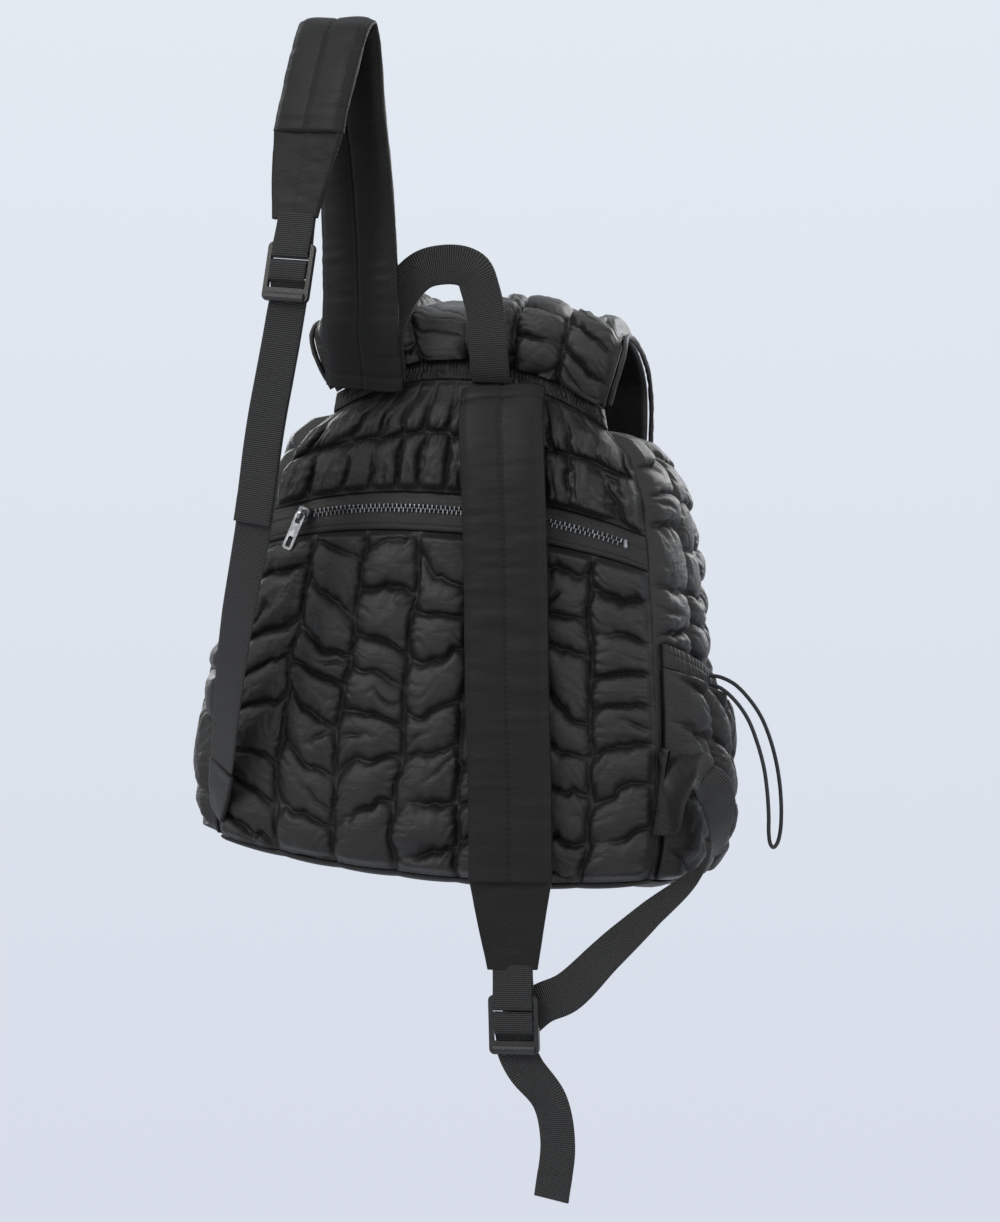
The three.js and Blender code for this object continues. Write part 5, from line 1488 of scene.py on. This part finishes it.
# %% Studio
LOW_AIR, HIGH_AIR = (0.69, 0.73, 0.82), (0.77, 0.825, 0.89)
FLOOR_SIDES, FLOOR_HEIGHT = 96, -1.3
angle = np.linspace(0, 2 * np.pi, FLOOR_SIDES, endpoint=False)
rings = [np.stack([r * np.cos(angle), r * np.sin(angle), np.full(FLOOR_SIDES, FLOOR_HEIGHT)], -1)
         for r in (0.02, 0.8, 1.6, 2.4)]
floor_mesh = bpy.data.meshes.new("studio_floor")
floor_mesh.from_pydata(np.vstack(rings).tolist(), [],
                       quads(len(rings), FLOOR_SIDES, wrap=True) + [list(range(FLOOR_SIDES))[::-1]])
floor = new_object("studio_floor", floor_mesh)
floor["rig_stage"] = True
ground = Finish("studio_floor")
ground.steady(Base_Color=(0, 0, 0, 1), Emission_Color=(*LOW_AIR, 1), Emission_Strength=1.0, Roughness=0.9,
              Specular_IOR_Level=0.0)
floor_mesh.materials.append(ground.material)

air = bpy.data.worlds.new("air")
air.use_nodes = True
sky = Nodes(air.node_tree)
upward = sky.axes(sky.coordinates("Generated"))[2]
share = sky.node("ShaderNodeMapRange", {}, {"Value": upward, "From Min": -0.2, "From Max": 0.24}, "Result")
sky.tree.links.new(sky.blend(share, LOW_AIR, HIGH_AIR).socket, sky.tree.nodes["Background"].inputs["Color"])
bpy.context.scene.world = air
print("floor at", FLOOR_HEIGHT, "m")

# %% [markdown]
# ## Lamps
#
# Large soft lamps, as in a product studio. The key stands high on the left and shapes the puffs, the
# fill on the right keeps the shadows open, and the three others draw the outline from above and behind.

# %% Lamps
WHITE, COOL = (1, 1, 1), (0.94, 0.96, 1)
LAMPS = [
    # name, place, what it points at, size, power, colour
    ("key", (-1.6, -2.2, 1.6), (0.1, 0, -0.4), (1.3, 1.3), 47, WHITE),
    ("fill", (2.4, -1.4, 0.4), (0.1, 0, -0.45), (1.2, 1.8), 17, COOL),
    ("top", (0.1, 0.3, 2.0), (0.1, 0, -0.4), (1.6, 1.2), 8, WHITE),
    ("rim", (1.2, 2.2, 0.8), (0.1, 0.1, -0.4), (1.2, 1.2), 30, WHITE),
    ("back", (-1.6, 1.8, 0.6), (0.1, 0.1, -0.4), (1.2, 1.2), 22, WHITE),
]
for name, stands_at, target, size, power, colour in LAMPS:
    data = bpy.data.lights.new(name, "AREA")
    data.shape = "RECTANGLE"
    data.size, data.size_y = size
    data.energy = power
    data.color = colour
    lamp = new_object(name, data)
    lamp.location = stands_at
    lamp.rotation_euler = (Vector(target) - Vector(stands_at)).to_track_quat("-Z", "Y").to_euler()
    lamp.visible_camera = False
print("lamps:", len(LAMPS))

# %% [markdown]
# ## Size and finish
#
# The part's box and the dressed bag's box are both measured, and what stands out on each side is printed
# next to a margin of 3 percent of the part's size and 10 mm. The count of triangles is printed last.

# %% Size and finish
seen_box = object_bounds()
sizes = {"cad": [[float(v) for v in corner] for corner in cad_box],
         "visual": [[float(v) for v in corner] for corner in seen_box]}
for k in range(3):
    low, high = sizes["cad"][0][k], sizes["cad"][1][k]
    spare = 0.03 * (high - low) + 0.01
    print("xyz"[k], "outside the part's box by mm:", round(1000 * (low - sizes["visual"][0][k]), 1),
          round(1000 * (sizes["visual"][1][k] - high), 1), "of", round(1000 * spare, 1))
triangles = sum(sum(len(p.vertices) - 2 for p in o.data.polygons)
                for o in bpy.data.objects if o.type == "MESH" and "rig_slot" in o)
print("triangles:", triangles)
